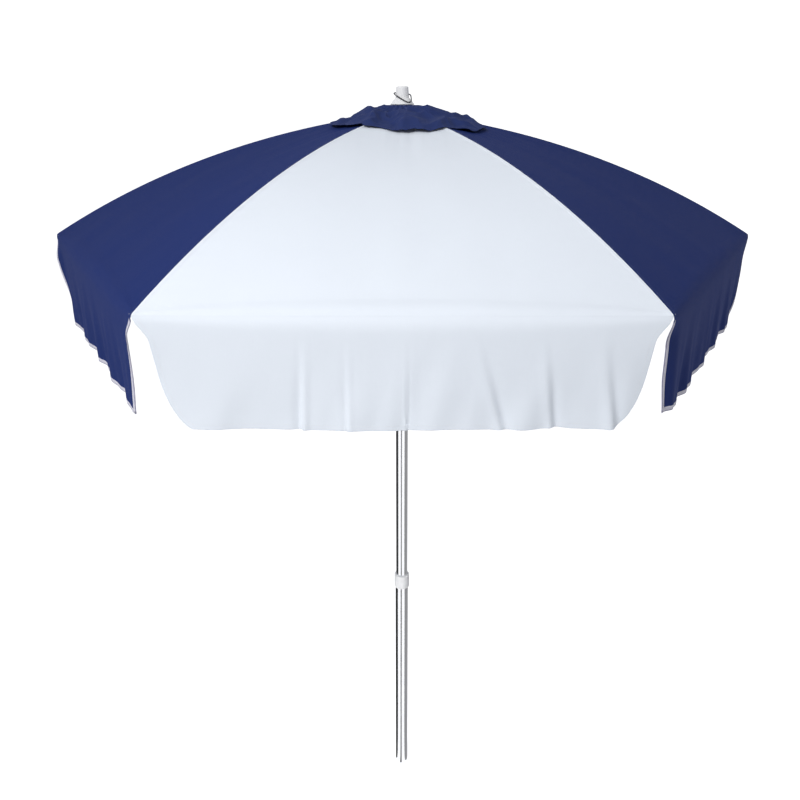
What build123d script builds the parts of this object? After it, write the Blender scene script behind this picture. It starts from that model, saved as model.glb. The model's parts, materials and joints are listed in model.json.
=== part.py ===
from build123d import *

import os
from math import acos, asin, cos, degrees, pi, radians, sin, sqrt, tan

# Patio umbrella with a six-panel canopy on a two-piece pole. All sizes are in mm.
# The frame stands on the pole's foot: Z runs up the pole's axis, and the first rib points along +X.

os.makedirs("parts", exist_ok=True)

# ---- driving dimensions ----
SECTORS = 6
SECTOR_ANGLE = 360 / SECTORS
HEM_RADIUS = 915  # seam between two panels, at the hem
FIT = 0.05  # radial clearance of a pressed or turning fit
PIN_RADIUS = 2.0

# pole
LOWER_RADIUS = 20
LOWER_BORE = 18
LOWER_TOP = 780
UPPER_RADIUS = 17.5
UPPER_BORE = 16
UPPER_FOOT = 640.2
UPPER_TOP = 2165
COLLAR_RADIUS = 23
COLLAR_FOOT = 741
COLLAR_TOP = 786
COLLAR_LIP_BORE = UPPER_RADIUS + 0.35
COLLAR_SEAT_RADIUS = 19.6  # of the lower tube's neck inside the collar
COLLAR_SEAT_FOOT = 740
COLLAR_ROUND = 1.5
FOOT_PLUG_HEIGHT = 25
FOOT_PLUG_FLOOR = 4
FOOT_PLUG_WALL = 3
STOP_PLUG_WALL = 6
STOP_PLUG_FOOT = 610
STOP_PLUG_TOP = 640
TOP_PLUG_FOOT = 2120

# hub on top of the pole
HUB_SLEEVE_RADIUS = 22
HUB_SLEEVE_FOOT = 2112
HUB_TOP = 2170.5
CROWN_RADIUS = 38
CROWN_FOOT = 2136
CROWN_TOP = 2152.5
HUB_SLOT = 5.5
HUB_SLOT_INSIDE = 21.8
RIVET_HEIGHT = 2128
OVERRUN = 2  # how far a cut runs past the face that it opens

# ribs, each a rod bent to one arc
HINGE_RADIUS = 28  # from the pole's axis to the inner end of a rib or stretcher
RIB_HINGE_HEIGHT = 2145
RIB_CURVE = 2217
RIB_LENGTH = 934
RIB_SLOPE = 6.5  # degrees below level at the hub
ROD_RADIUS = 4
ROD_INSET = 20  # from the hinge to the start of the round rod
EYE_THICKNESS = 4.5

# stretchers
STRETCHER_LENGTH = 500
STRETCHER_WIDTH = 6
STRETCHER_DEPTH = 9
STRETCHER_EYE = 5.5
PIVOT_DROP = 12  # of the outer pivot below the rib's centre line
EAR_GAP = 7
EAR_THICKNESS = 2.5

# runner
RUNNER_BORE = 17.9
RUNNER_SLEEVE_RADIUS = 22
RUNNER_LUG_RADIUS = 37
RUNNER_LUG_HALF = 9
RUNNER_SLEEVE_DROP = 60
RUNNER_SLOT = 7
KEYWAY_RADIUS = 2.35
KEYWAY_HALF = 6
SCREW_DROP = 42
BOSS_RADIUS = 6.5
BOSS_END = 31
NUT_START = 26
NUT_CORNER_RADIUS = 5.2
STUD_RADIUS = 3
STUD_START = 17.7
STUD_END = 44
KNOB_RADIUS = 11.5
KNOB_START = 32
KNOB_END = 48

# canopy
FABRIC_CURVE = 2224  # of the outer face of the fabric over a rib
FABRIC_THICKNESS = 1.2
SEAM_GAP = 0.5
VENT_RADIUS = 130
VALANCE_DROP = 210
VALANCE_GAP = 0.35
VENT_CAP_RINGS = [(46, 2171.7), (130, 2150.0), (200, 2131.0)]  # corner radius and height

# finial and its cord
WASHER_RADIUS = 21
FINIAL_FOOT = 2173.2
FINIAL_TOP = 2216
FINIAL_BASE_RADIUS = 30
FINIAL_CONE_TOP = 2188
FINIAL_EDGE = 1.5
FINIAL_RADIUS = 16.8  # where the cylinder leaves the cone
FINIAL_TIP_RADIUS = 15.2
FINIAL_STUD_RADIUS = 4
FINIAL_STUD_TOP = 2190
CORD_RADIUS = 1.5
CORD_HOLE_RADIUS = 1.6
CORD_ROUTE = [
    (-10, 0, 2201),
    (-21, 0, 2201),
    (-20, -11, 2197.5),
    (-9.5, -21.5, 2191),
    (3, -26.5, 2184),
    (14.5, -26, 2178.5),
    (23, -15.5, 2181),
    (22, -4, 2189.5),
    (20.5, 0, 2198),
    (10, 0, 2198),
]

# ---- places worked out from the driving dimensions ----
RIB_CENTRE = (
    HINGE_RADIUS - RIB_CURVE * sin(radians(RIB_SLOPE)),
    RIB_HINGE_HEIGHT - RIB_CURVE * cos(radians(RIB_SLOPE)),
)
TIP_SLOPE = RIB_SLOPE + degrees(RIB_LENGTH / RIB_CURVE)
PIVOT_CURVE = RIB_CURVE - PIVOT_DROP
# the outer pivot is as far from the hub's hinge as the stretcher is long
PIVOT_SLOPE = RIB_SLOPE + degrees(
    acos((RIB_CURVE**2 + PIVOT_CURVE**2 - STRETCHER_LENGTH**2) / (2 * RIB_CURVE * PIVOT_CURVE))
)


def on_arc(curve, slope):
    """Distance from the pole's axis and height, where an arc about the ribs' centre has a slope."""
    across = RIB_CENTRE[0] + curve * sin(radians(slope))
    return (across, RIB_CENTRE[1] + curve * cos(radians(slope)))


PIVOT = on_arc(PIVOT_CURVE, PIVOT_SLOPE)
STRETCHER_SLOPE = degrees(asin((RIB_HINGE_HEIGHT - PIVOT[1]) / STRETCHER_LENGTH))
RUNNER_HEIGHT = RIB_HINGE_HEIGHT - 2 * STRETCHER_LENGTH * sin(radians(STRETCHER_SLOPE))
RUNNER_TOP = RUNNER_HEIGHT + RUNNER_LUG_HALF
RUNNER_LUG_FOOT = RUNNER_HEIGHT - RUNNER_LUG_HALF
RUNNER_FOOT = RUNNER_HEIGHT - RUNNER_SLEEVE_DROP
HALF_SECTOR = SECTOR_ANGLE / 2
SQUEEZE = cos(radians(HALF_SECTOR))  # of a length along a rib, measured along a panel's middle
HEM_MIDDLE = HEM_RADIUS * SQUEEZE
HEM_HEIGHT = RIB_CENTRE[1] + sqrt(FABRIC_CURVE**2 - (HEM_RADIUS - RIB_CENTRE[0]) ** 2)
HEM_HALF = HEM_MIDDLE * tan(radians(HALF_SECTOR))


def upright(angle):
    """Upright plane through the pole's axis: its X runs outward at the angle, its Y runs up."""
    turn = radians(angle)
    return Plane(origin=(0, 0, 0), x_dir=(cos(turn), sin(turn), 0), z_dir=(sin(turn), -cos(turn), 0))


def tilted(angle, place, slope):
    """The upright plane moved to a place in it, with its X running outward and down by the slope."""
    flat = upright(angle)
    out = flat.x_dir * cos(radians(slope)) - flat.y_dir * sin(radians(slope))
    return Plane(origin=flat.from_local_coords(place), x_dir=out, z_dir=flat.z_dir)


def finish(part, node):
    """Labels a finished sub-part and writes its file."""
    part.label = node
    export_step(part, f"parts/{node}.step")


# ---- pole ----
with BuildPart() as lower_pole_tube:
    with BuildSketch():
        Circle(LOWER_RADIUS)
    extrude(amount=COLLAR_SEAT_FOOT)
    with BuildSketch(Plane.XY.offset(COLLAR_SEAT_FOOT)):
        Circle(COLLAR_SEAT_RADIUS)
    extrude(amount=LOWER_TOP - COLLAR_SEAT_FOOT)
    with BuildSketch():
        Circle(LOWER_BORE)
    extrude(amount=LOWER_TOP, mode=Mode.SUBTRACT)
finish(lower_pole_tube.part, "lower_pole_tube")

with BuildPart() as pole_foot_plug:
    with BuildSketch():
        Circle(LOWER_BORE - FIT)
    extrude(amount=FOOT_PLUG_HEIGHT)
    with BuildSketch(Plane.XY.offset(FOOT_PLUG_FLOOR)):
        Circle(LOWER_BORE - FOOT_PLUG_WALL)
    extrude(amount=FOOT_PLUG_HEIGHT, mode=Mode.SUBTRACT)
    chamfer(pole_foot_plug.edges().filter_by(GeomType.CIRCLE).group_by(Axis.Z)[0], 1)
finish(pole_foot_plug.part, "pole_foot_plug")

with BuildPart() as pole_stop_plug:
    with BuildSketch(Plane.XY.offset(STOP_PLUG_FOOT)):
        Circle(LOWER_BORE - FIT)
        Circle(LOWER_BORE - STOP_PLUG_WALL, mode=Mode.SUBTRACT)
    extrude(amount=STOP_PLUG_TOP - STOP_PLUG_FOOT)
finish(pole_stop_plug.part, "pole_stop_plug")

with BuildPart() as pole_collar:
    with BuildSketch(Plane.XY.offset(COLLAR_FOOT)):
        Circle(COLLAR_RADIUS)
    extrude(amount=COLLAR_TOP - COLLAR_FOOT)
    fillet(pole_collar.edges().filter_by(GeomType.CIRCLE), COLLAR_ROUND)
    with BuildSketch(Plane.XY.offset(COLLAR_FOOT)):
        Circle(COLLAR_SEAT_RADIUS + FIT)
    extrude(amount=LOWER_TOP - COLLAR_FOOT + FIT, mode=Mode.SUBTRACT)
    with BuildSketch(Plane.XY.offset(COLLAR_FOOT)):
        Circle(COLLAR_LIP_BORE)
    extrude(amount=COLLAR_TOP - COLLAR_FOOT, mode=Mode.SUBTRACT)
finish(pole_collar.part, "pole_collar")

with BuildPart() as upper_pole_tube:
    with BuildSketch(Plane.XY.offset(UPPER_FOOT)):
        Circle(UPPER_RADIUS)
        Circle(UPPER_BORE, mode=Mode.SUBTRACT)
    extrude(amount=UPPER_TOP - UPPER_FOOT)
    with BuildSketch(Plane.XZ):
        with Locations((0, RIVET_HEIGHT)):
            Circle(PIN_RADIUS + FIT)
    extrude(amount=UPPER_RADIUS + OVERRUN, both=True, mode=Mode.SUBTRACT)
finish(upper_pole_tube.part, "upper_pole_tube")

RIVET_INNER = 10
with BuildPart() as pole_top_plug:
    with BuildSketch(Plane.XY.offset(TOP_PLUG_FOOT)):
        Circle(UPPER_BORE - FIT)
        Circle(FINIAL_STUD_RADIUS + FIT, mode=Mode.SUBTRACT)
    extrude(amount=UPPER_TOP - TOP_PLUG_FOOT)
    for facing in (Plane.XZ, Plane.XZ.rotated((0, 0, 180))):
        with BuildSketch(facing.offset(RIVET_INNER)):
            with Locations((0, RIVET_HEIGHT)):
                Circle(PIN_RADIUS + FIT)
        extrude(amount=UPPER_BORE - RIVET_INNER, mode=Mode.SUBTRACT)
finish(pole_top_plug.part, "pole_top_plug")

# ---- hub ----
HUB_PIN_HALF = 8
RIB_ANGLES = [SECTOR_ANGLE * index for index in range(SECTORS)]
with BuildPart() as top_hub:
    with BuildSketch(Plane.XY.offset(HUB_SLEEVE_FOOT)):
        Circle(HUB_SLEEVE_RADIUS)
    extrude(amount=HUB_TOP - HUB_SLEEVE_FOOT)
    with BuildSketch(Plane.XY.offset(CROWN_FOOT)):
        Circle(CROWN_RADIUS)
    extrude(amount=CROWN_TOP - CROWN_FOOT)
    with BuildSketch(Plane.XY.offset(HUB_SLEEVE_FOOT)):
        Circle(UPPER_RADIUS + FIT)
    extrude(amount=UPPER_TOP - HUB_SLEEVE_FOOT + FIT, mode=Mode.SUBTRACT)
    with BuildSketch(Plane.XY.offset(HUB_TOP)):
        Circle(FINIAL_STUD_RADIUS + FIT)
    extrude(amount=UPPER_TOP - HUB_TOP, mode=Mode.SUBTRACT)
    with BuildSketch(Plane.XY.offset(CROWN_FOOT)):
        with PolarLocations((HUB_SLOT_INSIDE + CROWN_RADIUS + OVERRUN) / 2, SECTORS):
            Rectangle(CROWN_RADIUS + OVERRUN - HUB_SLOT_INSIDE, HUB_SLOT)
    extrude(amount=CROWN_TOP - CROWN_FOOT, mode=Mode.SUBTRACT)
    for angle in RIB_ANGLES:
        with BuildSketch(upright(angle)):
            with Locations((HINGE_RADIUS, RIB_HINGE_HEIGHT)):
                Circle(PIN_RADIUS + FIT)
        extrude(amount=HUB_PIN_HALF + FIT, both=True, mode=Mode.SUBTRACT)
    with BuildSketch(Plane.XZ):
        with Locations((0, RIVET_HEIGHT)):
            Circle(PIN_RADIUS + FIT)
    extrude(amount=HUB_SLEEVE_RADIUS + OVERRUN, both=True, mode=Mode.SUBTRACT)
finish(top_hub.part, "top_hub")

with BuildPart() as hub_pins:
    for angle in RIB_ANGLES:
        with BuildSketch(upright(angle)):
            with Locations((HINGE_RADIUS, RIB_HINGE_HEIGHT)):
                Circle(PIN_RADIUS)
        extrude(amount=HUB_PIN_HALF, both=True)
finish(hub_pins.part, "hub_pins")

RIVET_HEAD_RADIUS = 4
RIVET_HEAD_HEIGHT = 2
RIVET_HEAD_TAPER = 25
with BuildPart() as hub_rivets:
    for facing in (Plane.XZ, Plane.XZ.rotated((0, 0, 180))):
        with BuildSketch(facing.offset(RIVET_INNER + FIT)):
            with Locations((0, RIVET_HEIGHT)):
                Circle(PIN_RADIUS)
        extrude(amount=HUB_SLEEVE_RADIUS - RIVET_INNER)
        with BuildSketch(facing.offset(HUB_SLEEVE_RADIUS + FIT)):
            with Locations((0, RIVET_HEIGHT)):
                Circle(RIVET_HEAD_RADIUS)
        extrude(amount=RIVET_HEAD_HEIGHT, taper=RIVET_HEAD_TAPER)
finish(hub_rivets.part, "hub_rivets")

# ---- vent cap, washer, finial and cord ----
with BuildPart() as vent_cap:
    for (inner, high), (outer, low) in zip(VENT_CAP_RINGS, VENT_CAP_RINGS[1:]):
        with BuildSketch(Plane.XY.offset(low)):
            RegularPolygon(outer, SECTORS)
        with BuildSketch(Plane.XY.offset(high)):
            RegularPolygon(inner, SECTORS)
        loft()
    for (inner, high), (outer, low) in zip(VENT_CAP_RINGS, VENT_CAP_RINGS[1:]):
        with BuildSketch(Plane.XY.offset(low - FABRIC_THICKNESS)):
            RegularPolygon(outer, SECTORS)
        with BuildSketch(Plane.XY.offset(high - FABRIC_THICKNESS)):
            RegularPolygon(inner, SECTORS)
        loft(mode=Mode.SUBTRACT)
    with BuildSketch(Plane.XY.offset(HUB_TOP)):
        Circle(FINIAL_STUD_RADIUS + FIT)
    extrude(amount=FABRIC_THICKNESS, mode=Mode.SUBTRACT)
finish(vent_cap.part, "vent_cap")

CAP_TOP = VENT_CAP_RINGS[0][1]
with BuildPart() as cap_washer:
    with BuildSketch(Plane.XY.offset(CAP_TOP)):
        Circle(WASHER_RADIUS)
        Circle(FINIAL_STUD_RADIUS + FIT, mode=Mode.SUBTRACT)
    extrude(amount=FINIAL_FOOT - CAP_TOP)
finish(cap_washer.part, "cap_washer")

STUD_FOOT = 2150
STUD_CHAMFER = 0.8
with BuildPart() as finial_stud:
    with BuildSketch(Plane.XY.offset(STUD_FOOT)):
        Circle(FINIAL_STUD_RADIUS)
    extrude(amount=FINIAL_STUD_TOP - STUD_FOOT)
    chamfer(finial_stud.edges().filter_by(GeomType.CIRCLE), STUD_CHAMFER)
finish(finial_stud.part, "finial_stud")

FINIAL_FLUTES = 18
FLUTE_RADIUS = 1.6
FLUTE_INSIDE = 15.6  # of the flutes' deepest line from the axis; they fade where the body is slimmer
FLUTE_START = FINIAL_CONE_TOP + 3
FLUTE_END = FINIAL_TOP - 6
FLUTE_TURN = 10
FINIAL_ROUND = 4
CORD_SOCKET = 10  # the cord's two ends sit this far from the finial's axis
with BuildPart() as finial:
    with BuildSketch(Plane.XZ):
        with BuildLine():
            Polyline(
                (0, FINIAL_TOP),
                (0, FINIAL_FOOT),
                (FINIAL_BASE_RADIUS - FINIAL_EDGE, FINIAL_FOOT),
                (FINIAL_BASE_RADIUS, FINIAL_FOOT + FINIAL_EDGE),
                (FINIAL_RADIUS + FINIAL_EDGE, FINIAL_CONE_TOP),
                (FINIAL_RADIUS, FINIAL_CONE_TOP + FINIAL_EDGE),
                (FINIAL_TIP_RADIUS, FINIAL_TOP - FINIAL_ROUND),
            )
            RadiusArc(
                (FINIAL_TIP_RADIUS, FINIAL_TOP - FINIAL_ROUND),
                (FINIAL_TIP_RADIUS - FINIAL_ROUND, FINIAL_TOP),
                -FINIAL_ROUND,
            )
            Line((FINIAL_TIP_RADIUS - FINIAL_ROUND, FINIAL_TOP), (0, FINIAL_TOP))
        make_face()
    revolve(axis=Axis.Z)
    with BuildSketch(Plane.XY.offset(FLUTE_START)):
        with PolarLocations(FLUTE_INSIDE + FLUTE_RADIUS, FINIAL_FLUTES, start_angle=FLUTE_TURN):
            Circle(FLUTE_RADIUS)
    extrude(amount=FLUTE_END - FLUTE_START, mode=Mode.SUBTRACT)
    with BuildSketch(Plane.XY.offset(FINIAL_FOOT)):
        Circle(FINIAL_STUD_RADIUS + FIT)
    extrude(amount=FINIAL_STUD_TOP - FINIAL_FOOT + FIT, mode=Mode.SUBTRACT)
    with BuildSketch(Plane.YZ.offset(-CORD_SOCKET)):
        with Locations((0, CORD_ROUTE[0][2])):
            Circle(CORD_HOLE_RADIUS)
    extrude(amount=CORD_SOCKET - FINIAL_RADIUS - OVERRUN, mode=Mode.SUBTRACT)
    with BuildSketch(Plane.YZ.offset(CORD_SOCKET)):
        with Locations((0, CORD_ROUTE[-1][2])):
            Circle(CORD_HOLE_RADIUS)
    extrude(amount=FINIAL_RADIUS + OVERRUN - CORD_SOCKET, mode=Mode.SUBTRACT)
finish(finial.part, "finial")

ARC_SHARE = 0.45  # of the shorter of the two runs that an arc of the cord joins
cord_points = [Vector(*point) for point in CORD_ROUTE]
cord_runs = [end - start for start, end in zip(cord_points, cord_points[1:])]
cord_radii = []
for before, after in zip(cord_runs, cord_runs[1:]):
    half_turn = radians(before.get_angle(after)) / 2
    cord_radii.append(ARC_SHARE * min(before.length, after.length) / tan(half_turn))
with BuildPart() as finial_cord:
    with BuildLine() as cord_line:
        FilletPolyline(*cord_points, radius=cord_radii)
    with BuildSketch(cord_line.line ^ 0):
        Circle(CORD_RADIUS)
    sweep()
finish(finial_cord.part, "finial_cord")
print("cord radii", [round(radius, 1) for radius in cord_radii])
print("cord length", round(sum(edge.length for edge in cord_line.edges()), 1))
print("cord volume over section", round(finial_cord.part.volume / (pi * CORD_RADIUS**2), 1))

# ---- runner and its thumb screw ----
SCREW_HEIGHT = RUNNER_HEIGHT - SCREW_DROP
SCREW_HOLE_RADIUS = 3.4
with BuildPart() as runner:
    with BuildSketch(Plane.XY.offset(RUNNER_FOOT)):
        Circle(RUNNER_SLEEVE_RADIUS)
    extrude(amount=RUNNER_TOP - RUNNER_FOOT)
    with BuildSketch(Plane.XY.offset(RUNNER_LUG_FOOT)):
        Circle(RUNNER_LUG_RADIUS)
    extrude(amount=RUNNER_TOP - RUNNER_LUG_FOOT)
    with BuildSketch(Plane.XZ):
        with Locations((0, SCREW_HEIGHT)):
            Circle(BOSS_RADIUS)
    extrude(amount=BOSS_END)
    with BuildSketch(Plane.XY.offset(RUNNER_FOOT)):
        Circle(RUNNER_BORE)
    extrude(amount=RUNNER_TOP - RUNNER_FOOT, mode=Mode.SUBTRACT)
    with BuildSketch(Plane.XY.offset(RUNNER_LUG_FOOT)):
        with PolarLocations((RUNNER_SLEEVE_RADIUS + RUNNER_LUG_RADIUS + OVERRUN) / 2, SECTORS):
            Rectangle(RUNNER_LUG_RADIUS + OVERRUN - RUNNER_SLEEVE_RADIUS, RUNNER_SLOT)
    extrude(amount=RUNNER_TOP - RUNNER_LUG_FOOT, mode=Mode.SUBTRACT)
    # each stretcher's inner pin leaves its keyway downward as the canopy folds
    with BuildSketch(Plane.XY.offset(RUNNER_LUG_FOOT)):
        with PolarLocations(HINGE_RADIUS, SECTORS):
            Rectangle(2 * KEYWAY_RADIUS, 2 * KEYWAY_HALF)
    extrude(amount=RUNNER_HEIGHT - RUNNER_LUG_FOOT, mode=Mode.SUBTRACT)
    for angle in RIB_ANGLES:
        with BuildSketch(upright(angle)):
            with Locations((HINGE_RADIUS, RUNNER_HEIGHT)):
                Circle(KEYWAY_RADIUS)
        extrude(amount=KEYWAY_HALF, both=True, mode=Mode.SUBTRACT)
    with BuildSketch(Plane.XZ):
        with Locations((0, SCREW_HEIGHT)):
            Circle(SCREW_HOLE_RADIUS)
    extrude(amount=BOSS_END, mode=Mode.SUBTRACT)
    with BuildSketch(Plane.XZ.offset(NUT_START)):
        with Locations((0, SCREW_HEIGHT)):
            RegularPolygon(NUT_CORNER_RADIUS + FIT, 6)
    extrude(amount=BOSS_END - NUT_START, mode=Mode.SUBTRACT)
finish(runner.part, "runner")

with BuildPart() as runner_nut:
    with BuildSketch(Plane.XZ.offset(NUT_START)):
        with Locations((0, SCREW_HEIGHT)):
            RegularPolygon(NUT_CORNER_RADIUS, 6)
            Circle(STUD_RADIUS + FIT, mode=Mode.SUBTRACT)
    extrude(amount=BOSS_END - NUT_START)
finish(runner_nut.part, "runner_nut")

with BuildPart() as thumb_screw_stud:
    with BuildSketch(Plane.XZ.offset(STUD_START)):
        with Locations((0, SCREW_HEIGHT)):
            Circle(STUD_RADIUS)
    extrude(amount=STUD_END - STUD_START)
finish(thumb_screw_stud.part, "thumb_screw_stud")

KNOB_SCALLOPS = 8
SCALLOP_RADIUS = 3
SCALLOP_PLACE = 13.1
KNOB_CHAMFER = 0.8
with BuildPart() as thumb_screw_knob:
    with BuildSketch(Plane.XZ.offset(KNOB_START)):
        with Locations((0, SCREW_HEIGHT)):
            Circle(KNOB_RADIUS)
            with PolarLocations(SCALLOP_PLACE, KNOB_SCALLOPS):
                Circle(SCALLOP_RADIUS, mode=Mode.SUBTRACT)
    extrude(amount=KNOB_END - KNOB_START)
    chamfer(thumb_screw_knob.faces().sort_by(Axis.Y)[0].edges(), KNOB_CHAMFER)
    with BuildSketch(Plane.XZ.offset(KNOB_START)):
        with Locations((0, SCREW_HEIGHT)):
            Circle(STUD_RADIUS + FIT)
    extrude(amount=STUD_END - KNOB_START + FIT, mode=Mode.SUBTRACT)
finish(thumb_screw_knob.part, "thumb_screw_knob")

# ---- ribs, their joints and tips, and the stretchers ----
TIP_CAP_RADIUS = 5
TIP_CAP_LENGTH = 14
TIP_BORE = ROD_RADIUS + 2 * FIT
EYE_RADIUS = 5
EYE_NECK = 6.4
EYE_OVERLAP = 4  # of an eye's neck with the start of its rod
CLAMP_RADIUS = 5.2
CLAMP_HALF = 9
PIN_HEAD_RADIUS = 3.5
PIN_HEAD_GAP = 0.3
PIN_HEAD_START = EAR_GAP / 2 + EAR_THICKNESS + PIN_HEAD_GAP
PIN_HEAD_HEIGHT = 1.6
GROOVE_HEIGHT = 4
GROOVE_DEPTH = 0.8
GROOVE_INSET = 16
for number, angle in enumerate(RIB_ANGLES, start=1):
    side = upright(angle)
    rod_slope = RIB_SLOPE + degrees(ROD_INSET / RIB_CURVE)
    with BuildPart() as rib:
        with BuildLine(side) as rod_line:
            ThreePointArc(
                on_arc(RIB_CURVE, rod_slope),
                on_arc(RIB_CURVE, (rod_slope + TIP_SLOPE) / 2),
                on_arc(RIB_CURVE, TIP_SLOPE),
            )
        with BuildSketch(rod_line.line ^ 0):
            Circle(ROD_RADIUS)
        sweep()
        hinge = tilted(angle, (HINGE_RADIUS, RIB_HINGE_HEIGHT), RIB_SLOPE)
        with BuildSketch(hinge):
            Circle(EYE_RADIUS)
            Rectangle(ROD_INSET + EYE_OVERLAP, EYE_NECK, align=(Align.MIN, Align.CENTER))
        extrude(amount=EYE_THICKNESS / 2, both=True)
        with BuildSketch(hinge):
            Circle(PIN_RADIUS + FIT)
        extrude(amount=EYE_THICKNESS, both=True, mode=Mode.SUBTRACT)
    finish(rib.part, f"rib_{number}")

    tip = tilted(angle, on_arc(RIB_CURVE, TIP_SLOPE), TIP_SLOPE)
    with BuildPart() as rib_tip:
        with BuildSketch(tip):
            with BuildLine():
                Polyline(
                    (TIP_CAP_RADIUS, 0),
                    (FIT, 0),
                    (FIT, TIP_BORE),
                    (-TIP_CAP_LENGTH, TIP_BORE),
                    (-TIP_CAP_LENGTH, TIP_CAP_RADIUS),
                    (0, TIP_CAP_RADIUS),
                )
                RadiusArc((0, TIP_CAP_RADIUS), (TIP_CAP_RADIUS, 0), TIP_CAP_RADIUS)
            make_face()
        revolve(axis=Axis(tip.origin, tip.x_dir))
    finish(rib_tip.part, f"rib_tip_{number}")

    clamp = tilted(angle, on_arc(RIB_CURVE, PIVOT_SLOPE), PIVOT_SLOPE)
    clamp_end = Plane(origin=clamp.from_local_coords((-CLAMP_HALF, 0)), z_dir=clamp.x_dir)
    with BuildPart() as rib_joint:
        with BuildSketch(clamp_end):
            Circle(CLAMP_RADIUS)
        extrude(amount=2 * CLAMP_HALF)
        for ear_start in (EAR_GAP / 2, -EAR_GAP / 2 - EAR_THICKNESS):
            with BuildSketch(clamp.offset(ear_start)):
                with Locations((0, -PIVOT_DROP)):
                    Circle(STRETCHER_EYE)
                Rectangle(2 * STRETCHER_EYE, PIVOT_DROP, align=(Align.CENTER, Align.MAX))
                with Locations((0, -PIVOT_DROP)):
                    Circle(PIN_RADIUS + FIT, mode=Mode.SUBTRACT)
            extrude(amount=EAR_THICKNESS)
        with BuildSketch(clamp_end):
            Circle(ROD_RADIUS + FIT)
        extrude(amount=2 * CLAMP_HALF, mode=Mode.SUBTRACT)
    finish(rib_joint.part, f"rib_joint_{number}")

    bar = tilted(angle, (HINGE_RADIUS, RUNNER_HEIGHT), -STRETCHER_SLOPE)
    with BuildPart() as stretcher:
        with BuildSketch(bar):
            with Locations((0, 0), (STRETCHER_LENGTH, 0)):
                Circle(STRETCHER_EYE)
            Rectangle(STRETCHER_LENGTH, STRETCHER_DEPTH, align=(Align.MIN, Align.CENTER))
            with Locations((0, 0), (STRETCHER_LENGTH, 0)):
                Circle(PIN_RADIUS + FIT, mode=Mode.SUBTRACT)
        extrude(amount=STRETCHER_WIDTH / 2, both=True)
        for groove_start in (STRETCHER_WIDTH / 2 - GROOVE_DEPTH, -STRETCHER_WIDTH / 2):
            with BuildSketch(bar.offset(groove_start)):
                with Locations((STRETCHER_LENGTH / 2, 0)):
                    SlotOverall(STRETCHER_LENGTH - 2 * GROOVE_INSET, GROOVE_HEIGHT)
            extrude(amount=GROOVE_DEPTH, mode=Mode.SUBTRACT)
    finish(stretcher.part, f"stretcher_{number}")

    with BuildPart() as stretcher_pins:
        with BuildSketch(bar):
            Circle(PIN_RADIUS)
        extrude(amount=STRETCHER_EYE, both=True)
        with BuildSketch(bar):
            with Locations((STRETCHER_LENGTH, 0)):
                Circle(PIN_RADIUS)
        extrude(amount=PIN_HEAD_START, both=True)
        for head_start in (PIN_HEAD_START, -PIN_HEAD_START - PIN_HEAD_HEIGHT):
            with BuildSketch(bar.offset(head_start)):
                with Locations((STRETCHER_LENGTH, 0)):
                    Circle(PIN_HEAD_RADIUS)
            extrude(amount=PIN_HEAD_HEIGHT)
    finish(stretcher_pins.part, f"stretcher_pins_{number}")

# ---- canopy panels and the valance flap under each one ----
ELLIPSE_CENTRE = (RIB_CENTRE[0] * SQUEEZE, RIB_CENTRE[1])


def along_middle(curve, rib_radius):
    """Angle on the ellipse of a panel's middle, where the fabric over the rib has a radius."""
    return degrees(acos((rib_radius - RIB_CENTRE[0]) / curve))


def middle_point(curve, turn):
    """Point of the ellipse along a panel's middle."""
    across = ELLIPSE_CENTRE[0] + curve * SQUEEZE * cos(radians(turn))
    return (across, ELLIPSE_CENTRE[1] + curve * sin(radians(turn)))


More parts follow.
